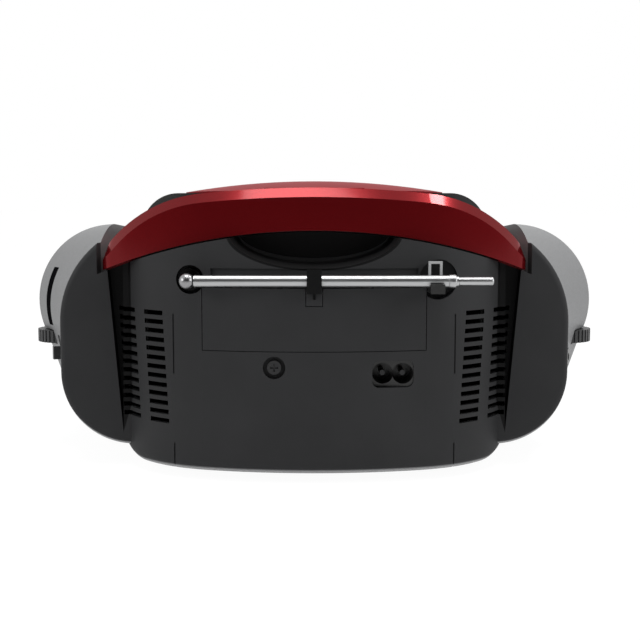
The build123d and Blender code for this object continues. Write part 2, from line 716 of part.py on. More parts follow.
button_xs = [(i - (BUTTON_COUNT - 1) / 2) * BUTTON_PITCH for i in range(BUTTON_COUNT)]
sled_y = CD_Y - TABLE_R - SLED_L / 2 - 4 * LOOSE
lug_front = LID_HINGE_Y - LID_KNUCKLE_R - SEAM
with BuildPart() as top_panel:
    add(top_body(0))
    add(top_body(WALL), mode=Mode.SUBTRACT)
    with BuildSketch(Plane.XY.offset(WELL_Z - WALL)):
        with Locations((0, CD_Y)):
            Circle(WELL_R + WALL)
    extrude(amount=TOP_Z - WELL_Z + WALL / 2)
    for side in (-1, 1):
        with Locations((side * (LID_LUG_HALF + SEAM + LID_EAR / 2), LID_EAR_BACK, LID_EAR_TOP)):
            Box(LID_EAR, LID_EAR_BACK - CD_Y - WELL_R, LID_EAR_TOP - LID_HINGE_Z + 2 * LID_KNUCKLE_R,
                align=(Align.CENTER, Align.MAX, Align.MAX))
    with BuildSketch(Plane.XY.offset(WELL_Z)):
        with Locations((0, CD_Y)):
            Circle(WELL_R)
    extrude(amount=REACH, mode=Mode.SUBTRACT)
    with Locations((0, lug_front, LID_EAR_TOP)):
        Box(2 * (LID_LUG_HALF + SEAM + LID_EAR), REACH, REACH, align=(Align.CENTER, Align.MIN, Align.MIN),
            mode=Mode.SUBTRACT)
    with Locations((0, lug_front, LID_HINGE_Z - LID_KNUCKLE_R - SEAM)):
        Box(2 * (LID_LUG_HALF + SEAM), REACH, REACH, align=(Align.CENTER, Align.MIN, Align.MIN),
            mode=Mode.SUBTRACT)
    with BuildSketch(Plane.YZ.offset(-LID_LUG_HALF - SEAM - LID_EAR + LID_PIN_R)):
        with Locations((LID_HINGE_Y, LID_HINGE_Z)):
            Circle(LID_PIN_R + RUN)
    extrude(amount=2 * (LID_LUG_HALF + SEAM + LID_EAR - LID_PIN_R), mode=Mode.SUBTRACT)
    with BuildSketch(Plane.XZ.offset(-JOIN_Y)):
        with Locations((0, ARCH_Z)):
            Circle(ARCH_R + SEAM)
    extrude(amount=-REACH, mode=Mode.SUBTRACT)
    with BuildSketch(Plane.XY.offset(WELL_Z - 2 * WALL)):
        with Locations((0, CD_Y)):
            Circle(TABLE_R + LOOSE)
        with Locations((0, sled_y + SLED_L / 2 + LOOSE)):
            Rectangle(SLED_W + 2 * LOOSE, SLED_L + SLED_TRAVEL + 2 * LOOSE, align=(Align.CENTER, Align.MAX))
    extrude(amount=4 * WALL, mode=Mode.SUBTRACT)
    with BuildSketch(SLOPE_PLANE):
        with Locations(*[(x, BUTTON_ROW) for x in button_xs]):
            Rectangle(BUTTON_W + 2 * SEAM, BUTTON_H + 2 * SEAM)
        with Locations((0, DISPLAY_ROW)):
            Rectangle(DISPLAY_W - 4 * DISPLAY_T, DISPLAY_H - 4 * DISPLAY_T)
    extrude(amount=-2 * WALL, mode=Mode.SUBTRACT)
    with BuildSketch(SLOPE_PLANE):
        with Locations((0, DISPLAY_ROW)):
            Rectangle(DISPLAY_W + 2 * RUN, DISPLAY_H + 2 * RUN)
    extrude(amount=-DISPLAY_T, mode=Mode.SUBTRACT)
    with BuildSketch(Plane.YZ.offset(-CORE_HALF - WALL)):
        with Locations((PIVOT_Y, PIVOT_Z)):
            Circle(PIVOT_R + RUN)
    extrude(amount=2 * (CORE_HALF + WALL), mode=Mode.SUBTRACT)
top_panel.part.label = "top_panel"
export_step(top_panel.part, "parts/top_panel.step")

# Red disc lid: shallow dome on a rim, with a lug and two stub pins at the back
rim_low = TOP_Z + SEAM
rim_top = rim_low + LID_RIM
dome_r = (LID_R**2 + (LID_TOP_Z - rim_top) ** 2) / (2 * (LID_TOP_Z - rim_top))
dome_z = LID_TOP_Z - dome_r
under_r = dome_r - LID_T
under_x = sqrt(under_r**2 - (rim_low - dome_z) ** 2)
with BuildPart() as cd_lid:
    with BuildSketch(Plane.XZ.offset(-CD_Y)):
        with BuildLine():
            CenterArc((0, dome_z), dome_r, 90, -degrees(asin(LID_R / dome_r)))
            Polyline((LID_R, rim_top), (LID_R, rim_low), (under_x, rim_low))
            CenterArc((0, dome_z), under_r, 90, -degrees(asin(under_x / under_r)))
            Line((0, LID_TOP_Z), (0, LID_TOP_Z - LID_T))
        make_face()
    revolve(axis=Axis((0, CD_Y, 0), (0, 0, 1)))
    with Locations((0, LID_HINGE_Y + SEAM, rim_low)):
        Box(2 * LID_LUG_HALF, LID_HINGE_Y - CD_Y - WELL_R + WALL, LID_LUG_T,
            align=(Align.CENTER, Align.MAX, Align.MIN))
    with BuildSketch(Plane.YZ.offset(-LID_LUG_HALF)):
        with Locations((LID_HINGE_Y, LID_HINGE_Z)):
            Circle(LID_KNUCKLE_R)
    extrude(amount=2 * LID_LUG_HALF)
    with BuildSketch(Plane.YZ.offset(-LID_LUG_HALF - SEAM - LID_EAR + 2 * LID_PIN_R)):
        with Locations((LID_HINGE_Y, LID_HINGE_Z)):
            Circle(LID_PIN_R)
    extrude(amount=2 * (LID_LUG_HALF + SEAM + LID_EAR - 2 * LID_PIN_R))
cd_lid.part.label = "cd_lid"
export_step(cd_lid.part, "parts/cd_lid.step")

# Carrying handle: arched bar behind the lid, with two arms that run forward in the channels
crest = degrees(asin(HANDLE_CORNER_X / (HANDLE_TOP_R - HANDLE_CORNER)))
corner_z = HANDLE_TOP - HANDLE_TOP_R + (HANDLE_TOP_R - HANDLE_CORNER) * cos(radians(crest))
corner_out = HANDLE_CORNER_X + HANDLE_CORNER
with BuildPart() as handle:
    with BuildSketch() as plan:
        with Locations((0, HANDLE_Y - HANDLE_R)):
            Circle(HANDLE_R)
        with Locations((0, PIVOT_Y - PIVOT_END)):
            Rectangle(2 * HANDLE_HALF, REACH, align=(Align.CENTER, Align.MIN), mode=Mode.INTERSECT)
        fillet(plan.vertices().group_by(Axis.Y)[-1], radius=HANDLE_ARM - 4 * LOOSE)
    extrude(amount=REACH)
    with BuildSketch() as inner:
        with Locations((0, HANDLE_Y - HANDLE_R)):
            Circle(HANDLE_R - HANDLE_T)
        with Locations((0, PIVOT_Y - 2 * PIVOT_END)):
            Rectangle(2 * ARM_IN, REACH, align=(Align.CENTER, Align.MIN), mode=Mode.INTERSECT)
    extrude(amount=REACH, mode=Mode.SUBTRACT)
    with BuildSketch(Plane.XZ):
        with BuildLine():
            CenterArc((0, HANDLE_TOP - HANDLE_TOP_R), HANDLE_TOP_R, 90 - crest, 2 * crest)
            CenterArc((HANDLE_CORNER_X, corner_z), HANDLE_CORNER, 0, 90 - crest)
            CenterArc((-HANDLE_CORNER_X, corner_z), HANDLE_CORNER, 90 + crest, 90 - crest)
            Polyline((corner_out, corner_z), (corner_out, 0), (-corner_out, 0), (-corner_out, corner_z))
        make_face()
    extrude(amount=REACH, both=True, mode=Mode.INTERSECT)
    crown = handle.faces().sort_by(Axis.Z)[-1]
    chamfer(crown.edges().sort_by(Axis.Y)[-1], length=HANDLE_BEVEL)
    # Underside: the bar follows the arch of the cabinet, the arms are flat
    with BuildSketch(Plane.XZ.offset(LOOSE - JOIN_Y)):
        with Locations((0, ARCH_Z)):
            Circle(ARCH_R + HANDLE_LIFT)
    extrude(amount=-REACH, mode=Mode.SUBTRACT)
    with Locations((0, 0, CHANNEL_Z + 6 * LOOSE)):
        Box(REACH, REACH, REACH, align=(Align.CENTER, Align.CENTER, Align.MAX), mode=Mode.SUBTRACT)
    # Arms get lower towards their pivots
    with BuildSketch(Plane.YZ.offset(-HANDLE_HALF - WALL)):
        Polygon((-REACH / 4, ARM_TOP_Z), (ARM_FLAT_Y, ARM_TOP_Z), (ARM_RISE_Y, ARM_RISE_Z),
                (ARM_RISE_Y, REACH), (-REACH / 4, REACH), align=None)
    extrude(amount=2 * (HANDLE_HALF + WALL), mode=Mode.SUBTRACT)
    with BuildSketch(Plane.YZ.offset(-HANDLE_HALF - WALL)):
        with Locations((PIVOT_Y, PIVOT_Z)):
            Circle(PIVOT_R + RUN)
    extrude(amount=2 * (HANDLE_HALF + WALL), mode=Mode.SUBTRACT)
handle.part.label = "handle"
export_step(handle.part, "parts/handle.step")

with BuildPart() as handle_pivot_pins:
    with BuildSketch(Plane.YZ.offset(CORE_HALF - WALL)):
        with Locations((PIVOT_Y, PIVOT_Z)):
            Circle(PIVOT_R)
    extrude(amount=HANDLE_HALF + CHANNEL_SIDE / 2 - CORE_HALF + WALL)
    with BuildSketch(Plane.YZ.offset(CORE_HALF - WALL)):
        with Locations((PIVOT_Y, PIVOT_Z)):
            Circle(2 * PIVOT_R)
    extrude(amount=-PIVOT_R)
    mirror(about=Plane.YZ)
handle_pivot_pins.part.label = "handle_pivot_pins"
export_step(handle_pivot_pins.part, "parts/handle_pivot_pins.step")


# Speakers: domed grille in front of the baffle, driver behind it, and the driver's cone
def ring(points):
    """Solid of revolution about a speaker's axis, from radius and depth pairs behind the baffle's face."""
    with BuildPart() as body:
        with BuildSketch(Plane.XY.offset(CONE_Z)):
            Polygon(*[(CONE_X + r, NOSE_Y + y) for r, y in points], align=None)
        revolve(axis=Axis((CONE_X, NOSE_Y, CONE_Z), (0, 1, 0)))
    return body.part


grille_r = CONE_HOLE_R - SEAM
cap_r = (grille_r**2 + GRILLE_DOME**2) / (2 * GRILLE_DOME)
grille_spots = [
    ((column + row % 2 / 2) * GRILLE_STEP, row * GRILLE_STEP * sqrt(3) / 2)
    for row in range(-6, 7)
    for column in range(-6, 7)
]
with BuildPart() as speaker_grille_right:
    add(ring([(0, -GRILLE_DOME - GRILLE_T), (grille_r, -GRILLE_DOME - GRILLE_T), (grille_r, WALL),
              (0, WALL)]))
    with Locations((CONE_X, NOSE_Y - GRILLE_DOME + cap_r, CONE_Z)):
        Sphere(cap_r, mode=Mode.INTERSECT)
    add(ring([(0, 0), (grille_r - GRILLE_T, 0), (grille_r - GRILLE_T, WALL + 1), (0, WALL + 1)]),
        mode=Mode.SUBTRACT)
    with BuildSketch(Plane.XZ.offset(-NOSE_Y - WALL)):
        with Locations(*[(CONE_X + x, CONE_Z + z) for x, z in grille_spots
                         if hypot(x, z) < grille_r - 2 * GRILLE_T - GRILLE_HOLE_R]):
            Circle(GRILLE_HOLE_R)
    extrude(amount=4 * GRILLE_DOME, mode=Mode.SUBTRACT)
speaker_grille_right.part.label = "speaker_grille_right"
export_step(speaker_grille_right.part, "parts/speaker_grille_right.step")

with BuildPart() as speaker_grille_left:
    mirror(speaker_grille_right.part, about=Plane.YZ)
speaker_grille_left.part.label = "speaker_grille_left"
export_step(speaker_grille_left.part, "parts/speaker_grille_left.step")

basket_y = WALL + FRAME_T
with BuildPart() as speaker_driver_right:
    add(ring([(CONE_HOLE_R - WALL, WALL), (FRAME_R, WALL), (FRAME_R, basket_y), (MAGNET_R - 3, BASKET_DEEP),
              (MAGNET_R, BASKET_DEEP), (MAGNET_R, BASKET_DEEP + MAGNET_T), (0, BASKET_DEEP + MAGNET_T),
              (0, BASKET_DEEP), (MAGNET_R - 5, BASKET_DEEP - 1), (CONE_HOLE_R - WALL, basket_y)]))
speaker_driver_right.part.label = "speaker_driver_right"
export_step(speaker_driver_right.part, "parts/speaker_driver_right.step")

with BuildPart() as speaker_driver_left:
    mirror(speaker_driver_right.part, about=Plane.YZ)
speaker_driver_left.part.label = "speaker_driver_left"
export_step(speaker_driver_left.part, "parts/speaker_driver_left.step")

cone_r = CONE_HOLE_R - WALL - SEAM
with BuildPart() as speaker_cone_right:
    add(ring([(0, BASKET_DEEP - 6), (MAGNET_R / 2, BASKET_DEEP - 4), (cone_r, WALL), (cone_r, WALL + 1),
              (MAGNET_R / 2, BASKET_DEEP - 2), (0, BASKET_DEEP - SEAM)]))
speaker_cone_right.part.label = "speaker_cone_right"
export_step(speaker_cone_right.part, "parts/speaker_cone_right.step")

with BuildPart() as speaker_cone_left:
    mirror(speaker_cone_right.part, about=Plane.YZ)
speaker_cone_left.part.label = "speaker_cone_left"
export_step(speaker_cone_left.part, "parts/speaker_cone_left.step")

# Cassette door: panel with a holder behind it, tipping out about two stub pins at its foot
holder_y = HATCH_Y + HATCH_T
with BuildPart() as cassette_door:
    with Locations((0, HATCH_Y, HATCH_LOW_Z)):
        Box(2 * HATCH_HALF, HATCH_T, HATCH_TOP_Z - HATCH_LOW_Z, align=(Align.CENTER, Align.MIN, Align.MIN))
    for side in (-1, 1):
        with Locations((side * (HATCH_HALF - BOX_WALL / 2), holder_y, HATCH_LOW_Z)):
            Box(BOX_WALL, HATCH_DEEP, CAPSTAN_Z - HATCH_LOW_Z, align=(Align.CENTER, Align.MIN, Align.MIN))
    with Locations((0, holder_y, HATCH_LOW_Z)):
        Box(2 * HATCH_HALF, HATCH_DEEP, BOX_WALL, align=(Align.CENTER, Align.MIN, Align.MIN))
    with Locations((0, HATCH_Y, GLASS_Z)):
        Box(2 * GLASS_HALF, 3 * HATCH_T, GLASS_H, mode=Mode.SUBTRACT)
        Box(2 * (GLASS_HALF + BOX_WALL), HATCH_T, GLASS_H + 2 * BOX_WALL, mode=Mode.SUBTRACT)
    for side in (-1, 1):
        with BuildSketch(Plane.YZ.offset(side * (HATCH_HALF - BOX_WALL))):
            with Locations((HATCH_PIVOT_Y, HATCH_PIVOT_Z)):
                Circle(HATCH_PIN_R)
        extrude(amount=side * (FASCIA_HALF - WALL / 2 - HATCH_HALF + BOX_WALL))
cassette_door.part.label = "cassette_door"
export_step(cassette_door.part, "parts/cassette_door.step")

with BuildPart() as cassette_window:
    with Locations((0, HATCH_Y, GLASS_Z)):
        Box(2 * (GLASS_HALF + BOX_WALL - RUN), HATCH_T / 2, GLASS_H + 2 * (BOX_WALL - RUN),
            align=(Align.CENTER, Align.MIN, Align.CENTER))
cassette_window.part.label = "cassette_window"
export_step(cassette_window.part, "parts/cassette_window.step")

# Deck works: plate, reel spindles, capstan with flywheel, pinch roller, head, motor and belt
plate_back = PLATE_Y + PLATE_T
drive_y = plate_back + MOTOR_L + 2 * LOOSE
capstan_y = PLATE_Y - HATCH_DEEP + LOOSE
pinch_z = CAPSTAN_Z + CAPSTAN_R + PINCH_R + LOOSE


def rod(x, z, radius, start, end):
    """Round bar along Y."""
    with BuildPart() as bar:
        with BuildSketch(Plane.XZ.offset(-start)):
            with Locations((x, z)):
                Circle(radius)
        extrude(amount=-(end - start))
    return bar.part


with BuildPart() as deck_chassis:
    with Locations((0, PLATE_Y, FLOOR_Z)):
        Box(2 * (FASCIA_HALF - WALL - SEAM), PLATE_T, pinch_z - FLOOR_Z + PINCH_R,
            align=(Align.CENTER, Align.MIN, Align.MIN))
    add(rod(CAPSTAN_X, CAPSTAN_Z, 3 * CAPSTAN_R, plate_back, drive_y - LOOSE))
    add(rod(CAPSTAN_X, pinch_z, PINCH_PIN_R, capstan_y - LOOSE, PLATE_Y))
    add(rod(CAPSTAN_X, CAPSTAN_Z, CAPSTAN_R + RUN, PLATE_Y, drive_y), mode=Mode.SUBTRACT)
    add(rod(REEL_X, REEL_Z, REEL_BORE + RUN, PLATE_Y, plate_back), mode=Mode.SUBTRACT)
    add(rod(-REEL_X, REEL_Z, REEL_BORE + RUN, PLATE_Y, plate_back), mode=Mode.SUBTRACT)
deck_chassis.part.label = "deck_chassis"
export_step(deck_chassis.part, "parts/deck_chassis.step")

for name, x in (("supply_spindle", -REEL_X), ("takeup_spindle", REEL_X)):
    with BuildPart() as spindle:
        add(rod(x, REEL_Z, REEL_BORE, PLATE_Y - WALL, plate_back + 2 * WALL))
        add(rod(x, REEL_Z, 2 * REEL_R, PLATE_Y - LOOSE - PLATE_T, PLATE_Y - LOOSE))
        add(rod(x, REEL_Z, 0.6 * REEL_R, PLATE_Y - HATCH_DEEP + 1, PLATE_Y - LOOSE))
        add(rod(x, REEL_Z, 0.8 * REEL_R, plate_back + LOOSE, plate_back + LOOSE + 1.5))
        with Locations((x, PLATE_Y - LOOSE, REEL_Z)):
            for turn in (0, 60, 120):
                Box(2 * REEL_R, HATCH_DEEP - 4, 1.2, rotation=(0, turn, 0),
                    align=(Align.CENTER, Align.MAX, Align.CENTER))
    spindle.part.label = name
    export_step(spindle.part, f"parts/{name}.step")

with BuildPart() as capstan_flywheel:
    add(rod(CAPSTAN_X, CAPSTAN_Z, CAPSTAN_R, capstan_y, drive_y + FLYWHEEL_T))
    add(rod(CAPSTAN_X, CAPSTAN_Z, FLYWHEEL_R, drive_y, drive_y + FLYWHEEL_T))
    add(rod(CAPSTAN_X, CAPSTAN_Z, FLYWHEEL_R - 3, drive_y + FLYWHEEL_T / 2, drive_y + FLYWHEEL_T),
        mode=Mode.SUBTRACT)
    add(rod(CAPSTAN_X, CAPSTAN_Z, 3 * CAPSTAN_R, drive_y, drive_y + FLYWHEEL_T))
capstan_flywheel.part.label = "capstan_flywheel"
export_step(capstan_flywheel.part, "parts/capstan_flywheel.step")

with BuildPart() as pinch_roller:
    add(rod(CAPSTAN_X, pinch_z, PINCH_R, capstan_y, capstan_y + PINCH_L))
    add(rod(CAPSTAN_X, pinch_z, PINCH_PIN_R + RUN, capstan_y, capstan_y + PINCH_L), mode=Mode.SUBTRACT)
pinch_roller.part.label = "pinch_roller"
export_step(pinch_roller.part, "parts/pinch_roller.step")

with BuildPart() as tape_head:
    with Locations((HEAD_X, capstan_y, CAPSTAN_Z)):
        Box(HEAD_W, PLATE_Y - capstan_y, HEAD_H, align=(Align.CENTER, Align.MIN, Align.MIN))
    fillet(tape_head.edges().filter_by(Axis.Y).group_by(Axis.Z)[0], radius=HEAD_H / 4)
tape_head.part.label = "tape_head"
export_step(tape_head.part, "parts/tape_head.step")

with BuildPart() as deck_motor:
    add(rod(MOTOR_X, MOTOR_Z, MOTOR_R, plate_back, plate_back + MOTOR_L))
    add(rod(MOTOR_X, MOTOR_Z, CAPSTAN_R, plate_back, drive_y + FLYWHEEL_T))
deck_motor.part.label = "deck_motor"
export_step(deck_motor.part, "parts/deck_motor.step")

with BuildPart() as motor_pulley:
    add(rod(MOTOR_X, MOTOR_Z, PULLEY_R, drive_y, drive_y + FLYWHEEL_T))
    add(rod(MOTOR_X, MOTOR_Z, CAPSTAN_R + RUN, drive_y, drive_y + FLYWHEEL_T), mode=Mode.SUBTRACT)
motor_pulley.part.label = "motor_pulley"
export_step(motor_pulley.part, "parts/motor_pulley.step")


def belt_loop(grow):
    """Outline round flywheel and pulley."""
    with BuildSketch(Plane.XZ.offset(-drive_y - FLYWHEEL_T / 4)) as loop:
        with Locations((CAPSTAN_X, CAPSTAN_Z)):
            Circle(FLYWHEEL_R + grow)
        with Locations((MOTOR_X, MOTOR_Z)):
            Circle(PULLEY_R + grow)
        make_hull()
    return loop.sketch


with BuildPart() as drive_belt:
    extrude(belt_loop(SEAM + BELT), amount=-FLYWHEEL_T / 2)
    extrude(belt_loop(SEAM), amount=-FLYWHEEL_T / 2, mode=Mode.SUBTRACT)
drive_belt.part.label = "drive_belt"
export_step(drive_belt.part, "parts/drive_belt.step")

# Six deck keys on stems that pass through the front
key_names = ("key_record", "key_play", "key_rewind", "key_forward", "key_stop", "key_pause")
key_back = FASCIA_Y - SEAM
stem_back = FASCIA_Y + WALL + SEAM
for name, x in zip(key_names, key_xs):
    with BuildPart() as key:
        with Locations((x, key_back, KEY_LOW_Z)):
            Box(KEY_PITCH - KEY_GAP, KEY_DEEP, KEY_H, align=(Align.CENTER, Align.MAX, Align.MIN))
        fillet(key.edges().filter_by(Axis.X).group_by(Axis.Y)[0], radius=2 * LOOSE)
        with Locations((x, key_back - LOOSE, stem_z)):
            Box(KEY_STEM, stem_back + WALL - key_back + LOOSE, KEY_STEM_H,
                align=(Align.CENTER, Align.MIN, Align.MIN))
        with Locations((x, stem_back, stem_z)):
            Box(2 * KEY_STEM, WALL, KEY_STEM_H, align=(Align.CENTER, Align.MIN, Align.MIN))
    key.part.label = name
    export_step(key.part, f"parts/{name}.step")

# Five disc buttons on the sloping panel, each with a flange under the wall, and the display window
button_names = ("button_back", "button_play", "button_stop", "button_next", "button_mode")
for name, x in zip(button_names, button_xs):
    with BuildPart() as button:
        with BuildSketch(SLOPE_PLANE.offset(-WALL - SEAM)):
            with Locations((x, BUTTON_ROW)):
                Rectangle(BUTTON_W, BUTTON_H)
        extrude(amount=WALL + SEAM + BUTTON_UP)
        with BuildSketch(SLOPE_PLANE.offset(-WALL - SEAM)):
            with Locations((x, BUTTON_ROW)):
                Rectangle(BUTTON_W + WALL, BUTTON_H + WALL)
        extrude(amount=-BUTTON_TRAVEL)
    button.part.label = name
    export_step(button.part, f"parts/{name}.step")

with BuildPart() as display_window:
    with BuildSketch(SLOPE_PLANE):
        with Locations((0, DISPLAY_ROW)):
            Rectangle(DISPLAY_W, DISPLAY_H)
    extrude(amount=-DISPLAY_T)
display_window.part.label = "display_window"
export_step(display_window.part, "parts/display_window.step")

# Disc drive: chassis with its motor under the well, turntable and pickup sled on two rails
rail_front = CD_Y - DRIVE_FRONT + 2 * LOOSE
rail_back = CD_Y - HUB_R - 4 * LOOSE
well_under = WELL_Z - WALL
with BuildPart() as cd_chassis:
    with Locations((0, CD_Y - DRIVE_FRONT, DRIVE_Z)):
        Box(2 * DRIVE_X, DRIVE_FRONT + DRIVE_BACK, DRIVE_T, align=(Align.CENTER, Align.MIN, Align.MIN))
    with BuildSketch(Plane.XY.offset(DRIVE_Z)):
        with Locations(*[(x, y) for x in (4 - DRIVE_X, DRIVE_X - 4)
                         for y in (CD_Y - 44, CD_Y + DRIVE_BACK - 4)]):
            Circle(SCREW_R)
    extrude(amount=well_under - DRIVE_Z)
    with Locations((0, CD_Y, DRIVE_Z)):
        Cylinder(DRIVE_MOTOR_R, DRIVE_MOTOR_L, align=(Align.CENTER, Align.CENTER, Align.MAX))
    for side in (-RAIL_X, RAIL_X):
        add(rod(side, RAIL_Z, RAIL_R, rail_front, rail_back))
        for y in (rail_front, rail_back - WALL):
            with Locations((side, y, DRIVE_Z + DRIVE_T / 2)):
                Box(2 * WALL, WALL, RAIL_Z + 2 * RAIL_R - DRIVE_Z - DRIVE_T / 2,
                    align=(Align.CENTER, Align.MIN, Align.MIN))
    with Locations((0, CD_Y, DRIVE_Z - DRIVE_MOTOR_L + WALL)):
        Cylinder(SHAFT_R + RUN, REACH / 8, align=(Align.CENTER, Align.CENTER, Align.MIN), mode=Mode.SUBTRACT)
cd_chassis.part.label = "cd_chassis"
export_step(cd_chassis.part, "parts/cd_chassis.step")

table_z = WELL_Z + TABLE_UP
shaft_z = DRIVE_Z - DRIVE_MOTOR_L + WALL + LOOSE
with BuildPart() as cd_turntable:
    with Locations((0, CD_Y, shaft_z)):
        Cylinder(SHAFT_R, table_z - shaft_z, align=(Align.CENTER, Align.CENTER, Align.MIN))
    with Locations((0, CD_Y, table_z)):
        Cylinder(TABLE_R, TABLE_T, align=(Align.CENTER, Align.CENTER, Align.MIN))
        Cylinder(HUB_R, TABLE_T + HUB_H, align=(Align.CENTER, Align.CENTER, Align.MIN))
    chamfer(cd_turntable.edges().group_by(Axis.Z)[-1], length=2 * LOOSE)
cd_turntable.part.label = "cd_turntable"
export_step(cd_turntable.part, "parts/cd_turntable.step")

with BuildPart() as laser_sled:
    with Locations((0, sled_y, DRIVE_Z + DRIVE_T + LOOSE)):
        Box(SLED_W, SLED_L, well_under - DRIVE_Z - DRIVE_T, align=(Align.CENTER, Align.CENTER, Align.MIN))
    with Locations((0, sled_y, well_under)):
        Cylinder(HUB_R / 2, WALL + 2 * LOOSE, align=(Align.CENTER, Align.CENTER, Align.MIN))
    for side in (-RAIL_X, RAIL_X):
        add(rod(side, RAIL_Z, RAIL_R + RUN, sled_y - SLED_L, sled_y + SLED_L), mode=Mode.SUBTRACT)
laser_sled.part.label = "laser_sled"
export_step(laser_sled.part, "parts/laser_sled.step")

# Battery box behind the door, with sprung contact plates at its ends
box_wide = 2 * (BOX_HALF + BOX_WALL)
with BuildPart() as battery_box:
    with Locations((0, BOX_Y - BOX_WALL, BOX_LOW_Z - BOX_WALL)):
        Box(box_wide, REACH, BOX_TOP_Z - BOX_LOW_Z + 2 * BOX_WALL, align=(Align.CENTER, Align.MIN, Align.MIN))
    add(back_prism(WALL + SEAM), mode=Mode.INTERSECT)
    with Locations((0, BOX_Y, BOX_LOW_Z)):
        Box(2 * BOX_HALF, REACH, BOX_TOP_Z - BOX_LOW_Z, align=(Align.CENTER, Align.MIN, Align.MIN),
            mode=Mode.SUBTRACT)
battery_box.part.label = "battery_box"
export_step(battery_box.part, "parts/battery_box.step")

cell_pitch = (BOX_TOP_Z - BOX_LOW_Z) * 0.95
with BuildPart() as battery_contacts:
    for side in (-1, 1):
        for row in range(3):
            with Locations((side * BOX_HALF, BOX_Y + cell_pitch * (row + 0.5), (BOX_LOW_Z + BOX_TOP_Z) / 2)):
                Box(2 * LOOSE, cell_pitch - WALL, cell_pitch - WALL,
                    align=(Align.MIN if side < 0 else Align.MAX, Align.CENTER, Align.CENTER))
battery_contacts.part.label = "battery_contacts"
export_step(battery_contacts.part, "parts/battery_contacts.step")

# Mains inlet with its two pins
inlet_floor = INLET_Y - INLET_BACK + WALL
with BuildPart() as mains_inlet:
    with BuildSketch(Plane.XZ.offset(-(INLET_Y - INLET_BACK))):
        with Locations((INLET_X, INLET_Z)):
            RectangleRounded(INLET_W - 2 * RUN, INLET_H - 2 * RUN, INLET_H / 4 - RUN)
    extrude(amount=-INLET_BACK)
    with BuildSketch(Plane.XZ.offset(-inlet_floor)):
        with Locations((INLET_X - PIN_PITCH / 2, INLET_Z), (INLET_X + PIN_PITCH / 2, INLET_Z)):
            Circle(INLET_H / 2 - 2 * LOOSE - SEAM)
    extrude(amount=-INLET_BACK, mode=Mode.SUBTRACT)
mains_inlet.part.label = "mains_inlet"
export_step(mains_inlet.part, "parts/mains_inlet.step")

with BuildPart() as inlet_pins:
    for side in (-1, 1):
        add(rod(INLET_X + side * PIN_PITCH / 2, INLET_Z, PIN_R, inlet_floor, INLET_Y - WALL))
inlet_pins.part.label = "inlet_pins"
export_step(inlet_pins.part, "parts/inlet_pins.step")

# Main board with its larger components, and the mains transformer
board_top = BOARD_Z + BOARD_T
with BuildPart() as main_board:
    with Locations((0, BOARD_FRONT, BOARD_Z)):
        Box(2 * BOARD_HALF, BOARD_BACK - BOARD_FRONT, BOARD_T, align=(Align.CENTER, Align.MIN, Align.MIN))
    with Locations((18, -18, board_top - BOARD_T / 2), (44, -18, board_top - BOARD_T / 2)):
        Cylinder(6, 22, align=(Align.CENTER, Align.CENTER, Align.MIN))
    with Locations((30, 10, board_top - BOARD_T / 2), (-30, -20, board_top - BOARD_T / 2)):
        Box(22, 9, 5, align=(Align.CENTER, Align.CENTER, Align.MIN))
    with Locations((20, 34, board_top - BOARD_T / 2)):
        Box(50, 4, 28, align=(Align.CENTER, Align.CENTER, Align.MIN))
main_board.part.label = "main_board"
export_step(main_board.part, "parts/main_board.step")

with BuildPart() as transformer:
    with Locations((-BOARD_HALF / 2, BOARD_BACK / 2, board_top)):
        Box(CORE_W, CORE_L, CORE_H, align=(Align.CENTER, Align.CENTER, Align.MIN))
    with Locations((-BOARD_HALF / 2, BOARD_BACK / 2, board_top + CORE_H / 2)):
        Box(CORE_W * 0.6, CORE_L + 2 * COIL_OVER, CORE_H * 0.7)
transformer.part.label = "transformer"
export_step(transformer.part, "parts/transformer.step")

# Rubber feet, and the screw in the back
with BuildPart() as feet:
    with Locations((-FOOT_FRONT_X, FOOT_FRONT_Y, 0), (FOOT_FRONT_X, FOOT_FRONT_Y, 0),
                   (-FOOT_BACK_X, FOOT_BACK_Y, 0), (FOOT_BACK_X, FOOT_BACK_Y, 0)):
        Cylinder(FOOT_R, BASE_Z, align=(Align.CENTER, Align.CENTER, Align.MIN))
feet.part.label = "feet"
export_step(feet.part, "parts/feet.step")

cup_floor = BACK_Y - SCREW_CUP
with BuildPart() as case_screw:
    add(rod(SCREW_X, SCREW_Z, SCREW_R, cup_floor, cup_floor + SCREW_R * 0.7))
    add(rod(SCREW_X, SCREW_Z, SCREW_SHANK, cup_floor - 4 * WALL, cup_floor))
    with Locations((SCREW_X, cup_floor + SCREW_R * 0.7, SCREW_Z)):
        Box(3.4, 2, 0.8, mode=Mode.SUBTRACT)
        Box(0.8, 2, 3.4, mode=Mode.SUBTRACT)
case_screw.part.label = "case_screw"
export_step(case_screw.part, "parts/case_screw.step")

# Aerial: knuckle in its cup, two tubes and the tip, and the bracket that holds the free end


def bar(radius, start, end):
    """Round bar along X on the aerial's axis."""
    with BuildPart() as body:
        with BuildSketch(Plane.YZ.offset(end)):
            with Locations((AERIAL_Y, AERIAL_Z)):
                Circle(radius)
        extrude(amount=start - end)
    return body.part


